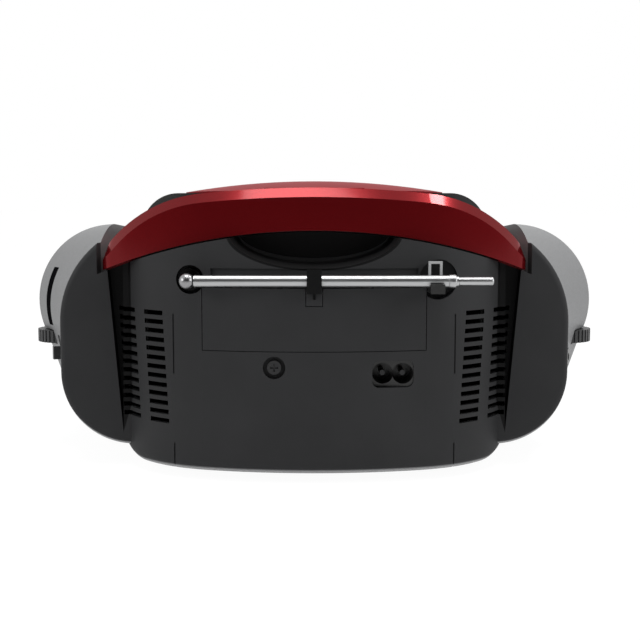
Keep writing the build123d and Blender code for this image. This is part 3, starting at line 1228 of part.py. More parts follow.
tube_x = PIVOT_X - 3 * TIP_R / 1.75
with BuildPart() as antenna_base:
    add(rod(PIVOT_X, AERIAL_Z, STUD_R, CUP_Y - 2 * WALL, CUP_Y + LOOSE))
    add(rod(PIVOT_X, AERIAL_Z, CUP_R - 3 * LOOSE, CUP_Y + RUN, CUP_Y + 3 * WALL))
    add(rod(PIVOT_X, AERIAL_Z, NECK_R, CUP_Y + WALL, AERIAL_Y))
    with Locations((PIVOT_X, AERIAL_Y, AERIAL_Z)):
        Sphere(BALL_R)
    add(bar(MIDDLE_R - SEAM, PIVOT_X, tube_x - 2 * WALL))
antenna_base.part.label = "antenna_base"
export_step(antenna_base.part, "parts/antenna_base.step")

with BuildPart() as antenna_outer_tube:
    add(bar(AERIAL_R, tube_x, TUBE_END_X))
    add(bar(MIDDLE_R + RUN, tube_x, TUBE_END_X), mode=Mode.SUBTRACT)
antenna_outer_tube.part.label = "antenna_outer_tube"
export_step(antenna_outer_tube.part, "parts/antenna_outer_tube.step")

middle_x = tube_x - 4 * WALL
middle_end = TUBE_END_X - 2 * LOOSE
with BuildPart() as antenna_middle_tube:
    add(bar(MIDDLE_R, middle_x, middle_end))
    add(bar(ROD_R + RUN, middle_x, middle_end), mode=Mode.SUBTRACT)
antenna_middle_tube.part.label = "antenna_middle_tube"
export_step(antenna_middle_tube.part, "parts/antenna_middle_tube.step")

with BuildPart() as antenna_tip:
    add(bar(ROD_R, middle_x, TIP_END_X))
    add(bar(TIP_R, middle_end - SEAM, TIP_END_X))
    fillet(antenna_tip.edges().group_by(Axis.X)[0], radius=TIP_R / 2)
antenna_tip.part.label = "antenna_tip"
export_step(antenna_tip.part, "parts/antenna_tip.step")

rest_y = BACK_Y - 2 * CLIP_T
with BuildPart() as antenna_rest:
    with Locations((REST_X - 2.4, SCOOP_Y, clip_low)):
        Box(4.2, rest_y - SCOOP_Y, CLIP_T, align=(Align.CENTER, Align.MIN, Align.MIN))
    with Locations((REST_X, rest_y - CLIP_T, clip_low)):
        Box(REST_W, clip_back - rest_y + 2 * CLIP_T, CLIP_T, align=(Align.CENTER, Align.MIN, Align.MIN))
    with Locations((REST_X, clip_back, clip_low)):
        Box(REST_W, CLIP_T, 2 * CLIP_T, align=(Align.CENTER, Align.MIN, Align.MIN))
    with Locations((REST_X, rest_y, clip_low)):
        Box(REST_W, CLIP_T, REST_TOP_Z - clip_low, align=(Align.CENTER, Align.MIN, Align.MIN))
    with Locations((REST_X, rest_y - LOOSE, clip_low + CLIP_T)):
        Box(REST_W - CLIP_T, 2 * CLIP_T, REST_TOP_Z - clip_low - CLIP_T - 2 * LOOSE,
            align=(Align.CENTER, Align.MIN, Align.MIN), mode=Mode.SUBTRACT)
antenna_rest.part.label = "antenna_rest"
export_step(antenna_rest.part, "parts/antenna_rest.step")

# Side controls: two knurled wheels on their pots, a sliding switch and a phones socket
pot_z = SHELF_Z + WALL
pot_top = WHEEL_Z - WHEEL_T / 2 - 2 * LOOSE
for name, side in (("tuning_wheel", 1), ("volume_wheel", -1)):
    with BuildPart() as wheel:
        with Locations((side * WHEEL_X, WHEEL_Y, WHEEL_Z)):
            Cylinder(WHEEL_R, WHEEL_T)
            with PolarLocations(WHEEL_R, KNURLS):
                Box(2 * LOOSE, 2 * LOOSE, 2 * WHEEL_T, mode=Mode.SUBTRACT)
        with Locations((side * WHEEL_X, WHEEL_Y, WHEEL_Z)):
            Cylinder(REEL_BORE, WHEEL_Z - pot_z - LOOSE, align=(Align.CENTER, Align.CENTER, Align.MAX))
    wheel.part.label = name
    export_step(wheel.part, f"parts/{name}.step")

with BuildPart() as control_pots:
    with Locations((WHEEL_X, WHEEL_Y, pot_z), (-WHEEL_X, WHEEL_Y, pot_z)):
        Box(3.2 * REEL_BORE, 3.2 * REEL_BORE, pot_top - pot_z, align=(Align.CENTER, Align.CENTER, Align.MIN))
        Cylinder(REEL_BORE + RUN, REACH / 4, align=(Align.CENTER, Align.CENTER, Align.MIN),
                 mode=Mode.SUBTRACT)
control_pots.part.label = "control_pots"
export_step(control_pots.part, "parts/control_pots.step")

with BuildPart() as band_switch:
    with BuildSketch(side_plane(1, SWITCH_X, SWITCH_Z).offset(-4 * WALL)):
        with Locations((0, -SWITCH_TRAVEL / 2)):
            Rectangle(SWITCH_W, SWITCH_H)
    extrude(amount=5 * WALL)
band_switch.part.label = "band_switch"
export_step(band_switch.part, "parts/band_switch.step")

with BuildPart() as phones_socket:
    with BuildSketch(side_plane(-1, PHONES_X, PHONES_Z).offset(-PHONES_L)):
        Circle(PHONES_R)
    extrude(amount=PHONES_L)
    with BuildSketch(side_plane(-1, PHONES_X, PHONES_Z).offset(-PHONES_L + WALL)):
        Circle(PHONES_BORE)
    extrude(amount=PHONES_L, mode=Mode.SUBTRACT)
phones_socket.part.label = "phones_socket"
export_step(phones_socket.part, "parts/phones_socket.step")
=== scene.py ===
from math import cos, pi, radians, sin

import bmesh
import bpy
from mathutils import Matrix, Vector


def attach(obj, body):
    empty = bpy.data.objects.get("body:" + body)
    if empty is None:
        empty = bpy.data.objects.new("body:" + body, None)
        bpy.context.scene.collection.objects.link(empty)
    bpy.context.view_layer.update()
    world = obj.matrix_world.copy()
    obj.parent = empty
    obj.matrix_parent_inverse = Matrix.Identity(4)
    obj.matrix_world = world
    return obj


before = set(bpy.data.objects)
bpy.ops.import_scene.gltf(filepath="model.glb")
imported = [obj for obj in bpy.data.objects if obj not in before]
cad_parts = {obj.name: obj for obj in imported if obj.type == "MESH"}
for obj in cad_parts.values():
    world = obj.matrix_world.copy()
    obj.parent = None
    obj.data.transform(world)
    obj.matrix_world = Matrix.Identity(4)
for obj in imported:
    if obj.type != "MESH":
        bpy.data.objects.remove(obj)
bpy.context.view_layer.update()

# Back cabinet and battery door: one dark grey moulding with a fine spark-eroded texture, and the door
# cut from the same tool. The plastic is dull, a little uneven in shade, and rubbed smoother in places.
# The finger hollow and the valleys beside the lobes are painted near-black as painted shade, and the
# aerial's clip is black. The turned-under lower edge is painted a paler grey as a painted reflection of the
# pale floor.
CABINET_GREY = (0.0240, 0.0242, 0.0252)
HOLLOW_HALF = 0.0374
HOLLOW_TOP = 0.1070
HOLLOW_HIGH = 0.0159
VALLEY_IN = 0.0824
VALLEY_FOOT = (-0.2987, 0.0917)
VALLEY_OUT = (0.0823, 0.0858)
CLIP_HALF = 0.0033
BACK = 0.1003
EDGE_LOW = 0.0041
EDGE_TOP = 0.0300
UNDER_FROM = -0.42
UNDER_FULL = -0.70
# Near-black: painted shade in the finger hollow and the valleys, and the middle clip's own black.
SHADE_AND_CLIP_BLACK = (0.0032, 0.0032, 0.0034, 1.0)
# Paler grey: painted reflection of the pale floor on the down-turned lower edge.
FLOOR_REFLECTION_GREY = (0.34, 0.34, 0.345, 1.0)


def node_tree(name):
    """New material with its node tree, its shader and a helper that adds nodes and links."""
    material = bpy.data.materials.new(name)
    material.use_nodes = True
    tree = material.node_tree
    shader = tree.nodes["Principled BSDF"]

    def add(kind, settings=(), **inputs):
        node = tree.nodes.new(kind)
        for key, value in dict(settings).items():
            setattr(node, key, value)
        for key, value in inputs.items():
            socket = node.inputs[key.replace("_", " ")]
            if isinstance(value, bpy.types.NodeSocket):
                tree.links.new(value, socket)
            else:
                socket.default_value = value
        return node

    return material, tree, shader, add


def shaded(add, colour, low, high, fac):
    """Colour that wanders between a darker and a lighter shade of one tone."""
    ramp = add("ShaderNodeValToRGB", Fac=fac)
    for stop, amount in zip(ramp.color_ramp.elements, (low, high)):
        stop.color = [min(1.0, c * amount) for c in colour] + [1.0]
    ramp.color_ramp.elements[0].position = 0.3
    ramp.color_ramp.elements[1].position = 0.7
    return ramp.outputs["Color"]


def painted_shade_reflection_and_clip(add, place):
    """Masks on the cabinet: painted shade in hollow and valleys with the black clip, and painted floor
    reflection on the lower edge.
    """
    def reckon(operation, *values):
        node = add("ShaderNodeMath", {"operation": operation})
        for socket, value in zip(node.inputs, values):
            if isinstance(value, bpy.types.NodeSocket):
                node.id_data.links.new(value, socket)
            else:
                socket.default_value = value
        return node.outputs["Value"]

    spot = add("ShaderNodeSeparateXYZ", Vector=place)
    out = reckon("ABSOLUTE", spot.outputs["X"])
    high = spot.outputs["Z"]
    # Painted shade: the finger hollow under the handle is painted near-black.
    wide = reckon("DIVIDE", out, HOLLOW_HALF)
    drop = reckon("DIVIDE", reckon("SUBTRACT", HOLLOW_TOP, high), HOLLOW_HIGH)
    round_off = reckon("ADD", reckon("MULTIPLY", wide, wide), reckon("MULTIPLY", drop, drop))
    hollow = reckon("LESS_THAN", round_off, 1.0)
    # Painted shade: the deep valleys beside the lobes are painted near-black.
    near = reckon("MAXIMUM", reckon("MULTIPLY_ADD", high, *VALLEY_FOOT), VALLEY_IN)
    far = reckon("MULTIPLY_ADD", high, *VALLEY_OUT)
    valley = reckon("MULTIPLY", reckon("GREATER_THAN", out, near), reckon("LESS_THAN", out, far))
    behind = reckon("GREATER_THAN", spot.outputs["Y"], BACK)
    clip = reckon("MULTIPLY", reckon("LESS_THAN", out, CLIP_HALF), behind)
    # Painted reflection: faces of the lower edge that turn down are painted paler, as the floor would show
    # in them.
    facing = add("ShaderNodeNewGeometry").outputs["Normal"]
    down = add("ShaderNodeSeparateXYZ", Vector=facing).outputs["Z"]
    turned_under = add("ShaderNodeMapRange", Value=down, From_Min=UNDER_FROM, From_Max=UNDER_FULL)
    under = turned_under.outputs["Result"]
    band = reckon("MULTIPLY", reckon("GREATER_THAN", high, EDGE_LOW), reckon("LESS_THAN", high, EDGE_TOP))
    painted_floor_reflection = reckon("MULTIPLY", under, band)
    return reckon("MAXIMUM", reckon("MAXIMUM", hollow, valley), clip), painted_floor_reflection


def moulded_plastic(
    name, colour, rough, grain=1500.0, depth=0.00005, strength=0.35, shine=0.5, shade_reflection_and_clip_zones=None,
):
    """Injection-moulded plastic: eroded grain in relief, uneven shade, patches rubbed smoother."""
    material, tree, shader, add = node_tree(name)
    place = add("ShaderNodeTexCoord").outputs["Object"]
    cloud = add("ShaderNodeTexNoise", Vector=place, Scale=22.0, Detail=3.0).outputs["Fac"]
    fine = add("ShaderNodeTexNoise", Vector=place, Scale=grain, Detail=2.0).outputs["Fac"]
    rub = add("ShaderNodeMapRange", Value=cloud, To_Min=rough - 0.06, To_Max=rough + 0.06).outputs["Result"]
    bump = add("ShaderNodeBump", Strength=strength, Distance=depth, Height=fine).outputs["Normal"]
    tone = shaded(add, colour, 0.88, 1.12, cloud)
    # Zones painted over the tone where the given function marks them: painted shade, the clip's black and a
    # painted floor reflection.
    if shade_reflection_and_clip_zones:
        for mask, finish in zip(shade_reflection_and_clip_zones(add, place), (SHADE_AND_CLIP_BLACK, FLOOR_REFLECTION_GREY)):
            mix = add("ShaderNodeMix", {"data_type": "RGBA"})
            tree.links.new(mask, mix.inputs[0])
            tree.links.new(tone, mix.inputs[6])
            mix.inputs[7].default_value = finish
            tone = mix.outputs[2]
    tree.links.new(tone, shader.inputs["Base Color"])
    tree.links.new(rub, shader.inputs["Roughness"])
    tree.links.new(bump, shader.inputs["Normal"])
    shader.inputs["Specular IOR Level"].default_value = shine
    return material


def dress(material, *names):
    """Gives CAD nodes their finish."""
    for name in names:
        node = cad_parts[name]
        if not node.material_slots:
            node.data.materials.append(material)
        for place in node.material_slots:
            place.material = material


cabinet_plastic = moulded_plastic("cabinet_grey", CABINET_GREY, 0.56, shine=0.12, shade_reflection_and_clip_zones=painted_shade_reflection_and_clip)
dress(cabinet_plastic, "rear_cabinet", "battery_door")

# Speaker pods: the same moulding process, sprayed in silver with fine flakes under a dull lacquer.
# The paint is thin, so the flakes catch light one by one and the shade drifts a little.
POD_SILVER = (0.180, 0.182, 0.185)


def flake_paint(
    name, colour, metal, rough, coat, flakes=2600.0, shine=0.5, spread=0.14, edge=(1.0, 1.0, 1.0),
):
    """Sprayed metallic paint: flakes of different brightness under a lacquer with a slight orange peel."""
    material, tree, shader, add = node_tree(name)
    place = add("ShaderNodeTexCoord").outputs["Object"]
    flake = add("ShaderNodeTexVoronoi", Vector=place, Scale=flakes).outputs["Color"]
    shade = add("ShaderNodeRGBToBW", Color=flake).outputs["Val"]
    peel = add("ShaderNodeTexNoise", Vector=place, Scale=420.0, Detail=1.0).outputs["Fac"]
    cloud = add("ShaderNodeTexNoise", Vector=place, Scale=18.0, Detail=3.0).outputs["Fac"]
    rub = add("ShaderNodeMapRange", Value=cloud, To_Min=rough - 0.04, To_Max=rough + 0.05).outputs["Result"]
    bump = add("ShaderNodeBump", Strength=0.08, Distance=0.00006, Height=peel).outputs["Normal"]
    tree.links.new(shaded(add, colour, 1.0 - spread, 1.0 + spread, shade), shader.inputs["Base Color"])
    tree.links.new(rub, shader.inputs["Roughness"])
    tree.links.new(bump, shader.inputs["Normal"])
    shader.inputs["Metallic"].default_value = metal
    shader.inputs["Specular IOR Level"].default_value = shine
    shader.inputs["Specular Tint"].default_value = (*edge, 1.0)
    shader.inputs["Coat Weight"].default_value = coat
    shader.inputs["Coat Roughness"].default_value = 0.12
    return material


silver_paint = flake_paint("pod_silver", POD_SILVER, 0.25, 0.45, 0.0, shine=0.2, spread=0.07)
dress(silver_paint, "pod_shell_left", "pod_shell_right")

# Middle of the front and the top moulding: black satin plastic with a finer grain than the back.
# The top carries the disc well and the sloping control panel.
SATIN_BLACK = (0.012, 0.0125, 0.0125)
black_plastic = moulded_plastic("black_satin", SATIN_BLACK, 0.40, grain=2200.0, strength=0.2, shine=0.3)
dress(black_plastic, "front_cabinet", "top_panel", "cassette_door", "battery_box")

# Disc lid and carrying handle: red metallic paint, lacquered on the handle and duller on the lid.
# The lid is a shallow dome on a hinge at the back, the handle an arched bar with a wide bevel.
HANDLE_RED = (0.130, 0.0038, 0.0055)
HANDLE_EDGE = (0.80, 0.42, 0.44)
red_paint = flake_paint(
    "handle_red", HANDLE_RED, 0.60, 0.24, 0.22, flakes=3200.0, shine=0.05, spread=0.05, edge=HANDLE_EDGE,
)
dress(red_paint, "handle")
LID_RED = (0.190, 0.012, 0.016)
LID_EDGE = (0.62, 0.16, 0.18)
lid_paint = flake_paint(
    "lid_red", LID_RED, 0.35, 0.42, 0.0, flakes=3200.0, shine=0.04, spread=0.05, edge=LID_EDGE,
)
dress(lid_paint, "cd_lid")

# Aerial: chromed brass tubes drawn through a die, with faint lines along them, on a chromed knuckle.
# A rolled ferrule closes the outer tube.
AERIAL_Y = 0.1034
AERIAL_Z = 0.0870
TUBE_END_X = -0.0590
TUBE_R = 0.0025
FERRULE = 0.0032
KNUCKLE_NECK_Y = 0.0990
KNUCKLE_DARK = (0.012, 0.012, 0.012)
KNUCKLE_GREY = (0.30, 0.30, 0.305)
TONE_BLUR = 0.0002


def drawn_metal(name, colour, rough, along=(30.0, 1800.0, 1800.0), metal=1.0):
    """Plated or ground metal with faint lines along its length."""
    material, tree, shader, add = node_tree(name)
    place = add("ShaderNodeTexCoord").outputs["Object"]
    drawn = add("ShaderNodeMapping", Vector=place, Scale=along).outputs["Vector"]
    lines = add("ShaderNodeTexNoise", Vector=drawn, Scale=1.0, Detail=2.0).outputs["Fac"]
    rub = add("ShaderNodeMapRange", Value=lines, To_Min=rough * 0.7, To_Max=rough * 1.4).outputs["Result"]
    bump = add("ShaderNodeBump", Strength=0.06, Distance=0.00003, Height=lines).outputs["Normal"]
    tree.links.new(shaded(add, colour, 0.9, 1.06, lines), shader.inputs["Base Color"])
    tree.links.new(rub, shader.inputs["Roughness"])
    tree.links.new(bump, shader.inputs["Normal"])
    shader.inputs["Metallic"].default_value = metal
    return material


def two_tone(name, under, over, axis, edge, rough, metal):
    """Finish that changes from one colour to another at one level along X, Y or Z."""
    material, tree, shader, add = node_tree(name)
    place = add("ShaderNodeTexCoord").outputs["Object"]
    level = add("ShaderNodeSeparateXYZ", Vector=place).outputs[axis]
    wear = add("ShaderNodeTexNoise", Vector=place, Scale=900.0, Detail=2.0).outputs["Fac"]
    ends = {"From_Min": edge - TONE_BLUR, "From_Max": edge + TONE_BLUR}
    blend = add("ShaderNodeMapRange", Value=level, **ends).outputs["Result"]
    tone = add("ShaderNodeMix", {"data_type": "RGBA"})
    tree.links.new(blend, tone.inputs[0])
    tree.links.new(shaded(add, under, 0.85, 1.15, wear), tone.inputs[6])
    tree.links.new(shaded(add, over, 0.93, 1.05, wear), tone.inputs[7])
    rub = add("ShaderNodeMapRange", Value=wear, To_Min=rough - 0.05, To_Max=rough + 0.08).outputs["Result"]
    bump = add("ShaderNodeBump", Strength=0.08, Distance=0.00003, Height=wear).outputs["Normal"]
    tree.links.new(tone.outputs[2], shader.inputs["Base Color"])
    tree.links.new(rub, shader.inputs["Roughness"])
    tree.links.new(bump, shader.inputs["Normal"])
    shader.inputs["Metallic"].default_value = metal
    return material


def piece(name, mesh, material, body, smooth=True):
    """Turns a bmesh into a finished piece that rides on a body."""
    bmesh.ops.remove_doubles(mesh, verts=mesh.verts, dist=1e-7)
    bmesh.ops.recalc_face_normals(mesh, faces=mesh.faces)
    data = bpy.data.meshes.new(name)
    mesh.to_mesh(data)
    mesh.free()
    for face in data.polygons:
        face.use_smooth = smooth
    data.materials.append(material)
    made = bpy.data.objects.new(name, data)
    bpy.context.scene.collection.objects.link(made)
    if smooth:
        data.set_sharp_from_angle(angle=radians(35))
    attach(made, body)
    return made


def turned(profile, centre, axis, steps=48):
    """Ring or button turned about an axis: profile points are given as offset along the axis and radius."""
    axis = Vector(axis)
    side = axis.orthogonal().normalized()
    mesh = bmesh.new()
    corners = [mesh.verts.new(Vector(centre) + axis * along + side * radius) for along, radius in profile]
    edges = [mesh.edges.new(pair) for pair in zip(corners, corners[1:])]
    if profile[0][1] > 0 and profile[-1][1] > 0:
        edges.append(mesh.edges.new((corners[-1], corners[0])))
    bmesh.ops.spin(
        mesh, geom=corners + edges, cent=centre, axis=axis, angle=2 * pi, steps=steps, use_merge=True,
    )
    return mesh


chrome = drawn_metal("aerial_chrome", (0.46, 0.465, 0.47), 0.34)
dress(chrome, "antenna_outer_tube", "antenna_middle_tube", "antenna_tip")
knuckle = two_tone(
    "knuckle_metal", KNUCKLE_DARK, KNUCKLE_GREY, axis="Y", edge=KNUCKLE_NECK_Y, rough=0.30, metal=1.0,
)
dress(knuckle, "antenna_base")
ferrule = turned(
    [(0, TUBE_R), (0.0004, TUBE_R + 0.0003), (FERRULE - 0.0006, TUBE_R + 0.0003), (FERRULE, TUBE_R)],
    (TUBE_END_X, AERIAL_Y, AERIAL_Z), (1, 0, 0),
)
piece("aerial_ferrule", ferrule, chrome, "aerial")

# Bracket that holds the aerial's free end: a small clip moulded in light grey,
# with its jaw under the aerial in black, below a level about at the aerial's axis.
JAW_TOP_Z = 0.0872
JAW_BLACK = (0.010, 0.010, 0.010)
CLIP_GREY = (0.34, 0.345, 0.35)
clip_grey = two_tone("clip_grey", JAW_BLACK, CLIP_GREY, axis="Z", edge=JAW_TOP_Z, rough=0.45, metal=0.0)
dress(clip_grey, "antenna_rest")

# Screw in the back, pins, contacts and deck metalwork: zinc-plated steel with ground lines.
# The back screw and the pins of the mains inlet are blackened instead.
GROUND = (900.0, 60.0, 900.0)
steel = drawn_metal("plated_steel", (0.48, 0.48, 0.49), 0.32, along=GROUND)
dress(steel, "handle_pivot_pins", "battery_contacts", "deck_chassis", "deck_motor")
dress(steel, "capstan_flywheel", "tape_head")
dark_steel = drawn_metal("blackened_steel", (0.030, 0.030, 0.031), 0.38, along=GROUND, metal=0.6)
dress(dark_steel, "case_screw", "inlet_pins")

# Mains inlet and phones socket: hard black insulating plastic, smoother than the cabinet.
# Each is a moulding of its own, fixed in an opening of the case.
socket_plastic = moulded_plastic("socket_black", (0.008, 0.008, 0.008), 0.30, grain=2600.0, strength=0.12)
dress(socket_plastic, "mains_inlet", "phones_socket")

# Side controls: knurled wheels that stand out of slots in the pods, and a sliding switch.
# They are black mouldings, and the strip over the tuning wheel is a gloss black dial window.
control_plastic = moulded_plastic("control_black", (0.016, 0.016, 0.017), 0.45, grain=1800.0)
dress(control_plastic, "tuning_wheel", "volume_wheel", "band_switch", "control_pots")
DIAL_BLACK = (0.004, 0.004, 0.0045)
dial_black = moulded_plastic("dial_black", DIAL_BLACK, 0.30, grain=2600.0, strength=0.05, shine=0.0)
dress(dial_black, "dial_window")

# Speakers: perforated steel grilles painted dark, in a bright trim ring, with paper cones behind.
# The ring is pressed aluminium, turned over at both edges and glued to the front of the pod.
NOSE_Y = -0.1040
CONE_X = 0.0940
CONE_Z = 0.0620
RING_IN = 0.0337
RING_OUT = 0.0366
RING_HIGH = 0.0013
grille_paint = moulded_plastic("grille_paint", (0.020, 0.020, 0.021), 0.38, grain=2400.0, strength=0.15)
dress(grille_paint, "speaker_grille_left", "speaker_grille_right")
CONE_GREY = (0.018, 0.018, 0.018)
cone_paper = moulded_plastic("cone_paper", CONE_GREY, 0.85, grain=700.0, depth=0.0001, strength=0.6)
dress(cone_paper, "speaker_cone_left", "speaker_cone_right")
driver_paint = moulded_plastic("driver_paint", (0.06, 0.06, 0.062), 0.5)
dress(driver_paint, "speaker_driver_left", "speaker_driver_right", "transformer")
trim_metal = drawn_metal("trim_aluminium", (0.46, 0.46, 0.47), 0.30, along=(700.0, 700.0, 60.0))
for side, word in ((1, "right"), (-1, "left")):
    ring = turned(
        [(0, RING_IN), (RING_HIGH * 0.7, RING_IN), (RING_HIGH, RING_IN + 0.0005),
         (RING_HIGH, RING_OUT - 0.0009), (RING_HIGH * 0.5, RING_OUT - 0.0002), (0, RING_OUT)],
        (side * CONE_X, NOSE_Y, CONE_Z), (0, -1, 0), steps=96,
    )
    piece("speaker_trim_" + word, ring, trim_metal, "cabinet")

# Cassette window and display window: clear smoked acrylic, polished, with faint wipe marks.
# The cassette works show through the one, the display plate through the other.
SMOKE_GREY = (0.32, 0.33, 0.34)


def acrylic(name, colour, rough):
    """Smoked clear plastic with faint wipe marks in its polish."""
    material, tree, shader, add = node_tree(name)
    place = add("ShaderNodeTexCoord").outputs["Object"]
    wiped = add("ShaderNodeMapping", Vector=place, Scale=(40.0, 400.0, 240.0)).outputs["Vector"]
    marks = add("ShaderNodeTexNoise", Vector=wiped, Scale=1.0, Detail=3.0).outputs["Fac"]
    rub = add("ShaderNodeMapRange", Value=marks, To_Min=rough, To_Max=rough + 0.08).outputs["Result"]
    tree.links.new(rub, shader.inputs["Roughness"])
    shader.inputs["Base Color"].default_value = (*colour, 1.0)
    shader.inputs["Transmission Weight"].default_value = 0.85
    shader.inputs["IOR"].default_value = 1.49
    return material


dress(acrylic("smoked_acrylic", SMOKE_GREY, 0.03), "cassette_window", "display_window")

# Frames round the two windows, pressed from thin aluminium, and the pale display plate behind its window.
# The frames are glued on: one rides on the cassette door, the other lies on the sloping panel.
SLOPE = 0.571337
PANEL_MIDDLE = Vector((0, -0.0770, 0.1105))
panel_turn = Matrix.Rotation(SLOPE, 4, "X")
DISPLAY_ROW = 0.0080
HATCH_MIDDLE = (0, -0.1010, 0.0490)
PLATE_SIZE = (0.0534, 0.0104, 0.0008)
PLATE_DEEP = 0.0018


def round_over(mesh, edges, width):
    """Rounds edges over in two steps."""
    bmesh.ops.bevel(
        mesh, geom=edges, offset=width, segments=2, profile=0.5, affect="EDGES", material=-1,
    )


def window_frame(width, height, band, high, matrix):
    """Flat rectangular frame with a raised, bevelled band."""
    mesh = bmesh.new()
    bmesh.ops.create_grid(mesh, x_segments=1, y_segments=1, size=0.5)
    bmesh.ops.scale(mesh, vec=(width + 2 * band, height + 2 * band, 1.0), verts=mesh.verts)
    middle = list(mesh.faces)
    bmesh.ops.inset_region(mesh, faces=middle, thickness=band, use_even_offset=True, use_boundary=True)
    bmesh.ops.delete(mesh, geom=middle, context="FACES")
    bmesh.ops.solidify(mesh, geom=list(mesh.faces), thickness=-high)
    upper = [e for e in mesh.edges if all(v.co.z > high / 2 for v in e.verts) and not e.is_boundary]
    rims = [e for e in upper if len({round(f.normal.z) for f in e.link_faces}) > 1]
    round_over(mesh, rims, high * 0.4)
    bmesh.ops.transform(mesh, matrix=matrix, verts=mesh.verts)
    return mesh


upright = Matrix.Rotation(pi / 2, 4, "X")
hatch_place = Matrix.Translation(HATCH_MIDDLE) @ upright
hatch_frame = window_frame(width=0.0756, height=0.0296, band=0.0016, high=0.0006, matrix=hatch_place)
piece("cassette_frame", hatch_frame, trim_metal, "cassette_door")
display_spot = PANEL_MIDDLE + panel_turn @ Vector((0, DISPLAY_ROW, 0))
display_place = Matrix.Translation(display_spot) @ panel_turn
display_rim = window_frame(width=0.0580, height=0.0150, band=0.0013, high=0.0005, matrix=display_place)
piece("display_frame", display_rim, trim_metal, "cabinet")
plate = bmesh.new()
bmesh.ops.create_cube(plate, size=1.0)
bmesh.ops.scale(plate, vec=PLATE_SIZE, verts=plate.verts)
round_over(plate, list(plate.edges), 0.0002)
plate_place = display_place @ Matrix.Translation((0, 0, -PLATE_DEEP))
bmesh.ops.transform(plate, matrix=plate_place, verts=plate.verts)
display_green = moulded_plastic("display_green", (0.16, 0.19, 0.13), 0.4, grain=1200.0, strength=0.1)
piece("display_plate", plate, display_green, "cabinet")

# Works behind the doors: black mouldings, rubber belt, roller and feet, and the circuit board.
# They show when the lid, the cassette door or the battery door is open.
works_plastic = moulded_plastic("works_black", (0.03, 0.03, 0.031), 0.48)
dress(works_plastic, "cd_chassis", "laser_sled", "cd_turntable")
dress(works_plastic, "motor_pulley", "supply_spindle", "takeup_spindle")
SOFT_BLACK = (0.012, 0.012, 0.012)
rubber = moulded_plastic("soft_rubber", SOFT_BLACK, 0.78, grain=900.0, depth=0.00008, strength=0.4)
dress(rubber, "feet", "drive_belt", "pinch_roller")
board_green = moulded_plastic("board_green", (0.02, 0.10, 0.04), 0.4, grain=500.0)
dress(board_green, "main_board")

# Deck keys: black blocks with a raised sign on the front of each, printed in light grey.
# The signs are the usual ones for a tape deck: dot, arrow, double arrows, square and bars.
KEY_SIGN = 0.0042
KEY_FRONT = -0.1073
KEY_SIGN_Z = 0.0884
KEY_PITCH = 0.0170
SIGN_HIGH = 0.00025
KEY_BLACK = (0.013, 0.013, 0.014)
key_plastic = moulded_plastic("key_black", KEY_BLACK, 0.36, grain=2400.0, strength=0.15, shine=0.3)
sign_ink = moulded_plastic("sign_ink", (0.55, 0.55, 0.55), 0.5, grain=2600.0, strength=0.1)
record_ink = moulded_plastic("record_ink", (0.45, 0.02, 0.02), 0.45, grain=2600.0, strength=0.1)
KEY_SIGNS = {
    "key_record": [("dot", 0.0)],
    "key_play": [("right", 0.0)],
    "key_rewind": [("left", -0.5), ("left", 0.5)],
    "key_forward": [("right", -0.5), ("right", 0.5)],
    "key_stop": [("square", 0.0)],
    "key_pause": [("bar", -0.35), ("bar", 0.35)],
}
SIGN_SIDES = {"dot": 24, "right": 3, "left": 3, "square": 4, "bar": 4}
SIGN_TURN = {"dot": 0.0, "right": 0.0, "left": pi, "square": pi / 4, "bar": pi / 4}


def sign(marks, size, frame_matrix):
    """Raised flat sign: each mark is a small prism in the plane of the key or button."""
    mesh = bmesh.new()
    for kind, shift in marks:
        sides = SIGN_SIDES[kind]
        turn = SIGN_TURN[kind] - (pi / 2 if sides == 3 else 0)
        made = bmesh.ops.create_cone(
            mesh, cap_ends=True, segments=sides, radius1=size / 2, radius2=size / 2 * 0.94,
            depth=SIGN_HIGH, matrix=Matrix.Rotation(turn, 4, "Z"),
        )
        if kind == "bar":
            bmesh.ops.scale(mesh, vec=(0.42, 1.0, 1.0), verts=made["verts"])
        bmesh.ops.translate(mesh, vec=(shift * size, 0, SIGN_HIGH / 2), verts=made["verts"])
    bmesh.ops.transform(mesh, matrix=frame_matrix, verts=mesh.verts)
    return mesh


for number, (name, marks) in enumerate(KEY_SIGNS.items()):
    dress(key_plastic, name)
    front = Matrix.Translation(((number - 2.5) * KEY_PITCH, KEY_FRONT, KEY_SIGN_Z)) @ upright
    ink = record_ink if name == "key_record" else sign_ink
    piece(name + "_sign", sign(marks, KEY_SIGN, front), ink, name, smooth=False)

# Disc buttons: silver caps on the sloping panel, each with its sign in dark print.
# The caps are moulded and sprayed as the pods are, and spring back when they are pressed.
BUTTON_SIGN = 0.0026
BUTTON_PITCH = 0.0180
BUTTON_ROW = -0.0120
BUTTON_UP = 0.0018
button_paint = flake_paint("button_silver", POD_SILVER, 0.5, 0.38, 0.1)
dark_ink = moulded_plastic("dark_ink", (0.012, 0.012, 0.012), 0.5, grain=2600.0, strength=0.1)
BUTTON_SIGNS = {
    "button_back": [("left", -0.3), ("bar", -0.95)],
    "button_play": [("right", -0.4), ("bar", 0.45), ("bar", 1.0)],
    "button_stop": [("square", 0.0)],
    "button_next": [("right", 0.3), ("bar", 0.95)],
    "button_mode": [("dot", -0.6), ("dot", 0.6)],
}
for number, (name, marks) in enumerate(BUTTON_SIGNS.items()):
    dress(button_paint, name)
    spot = panel_turn @ Vector(((number - 2) * BUTTON_PITCH, BUTTON_ROW, BUTTON_UP))
    top = Matrix.Translation(PANEL_MIDDLE + spot) @ panel_turn
    piece(name + "_sign", sign(marks, BUTTON_SIGN, top), dark_ink, name, smooth=False)

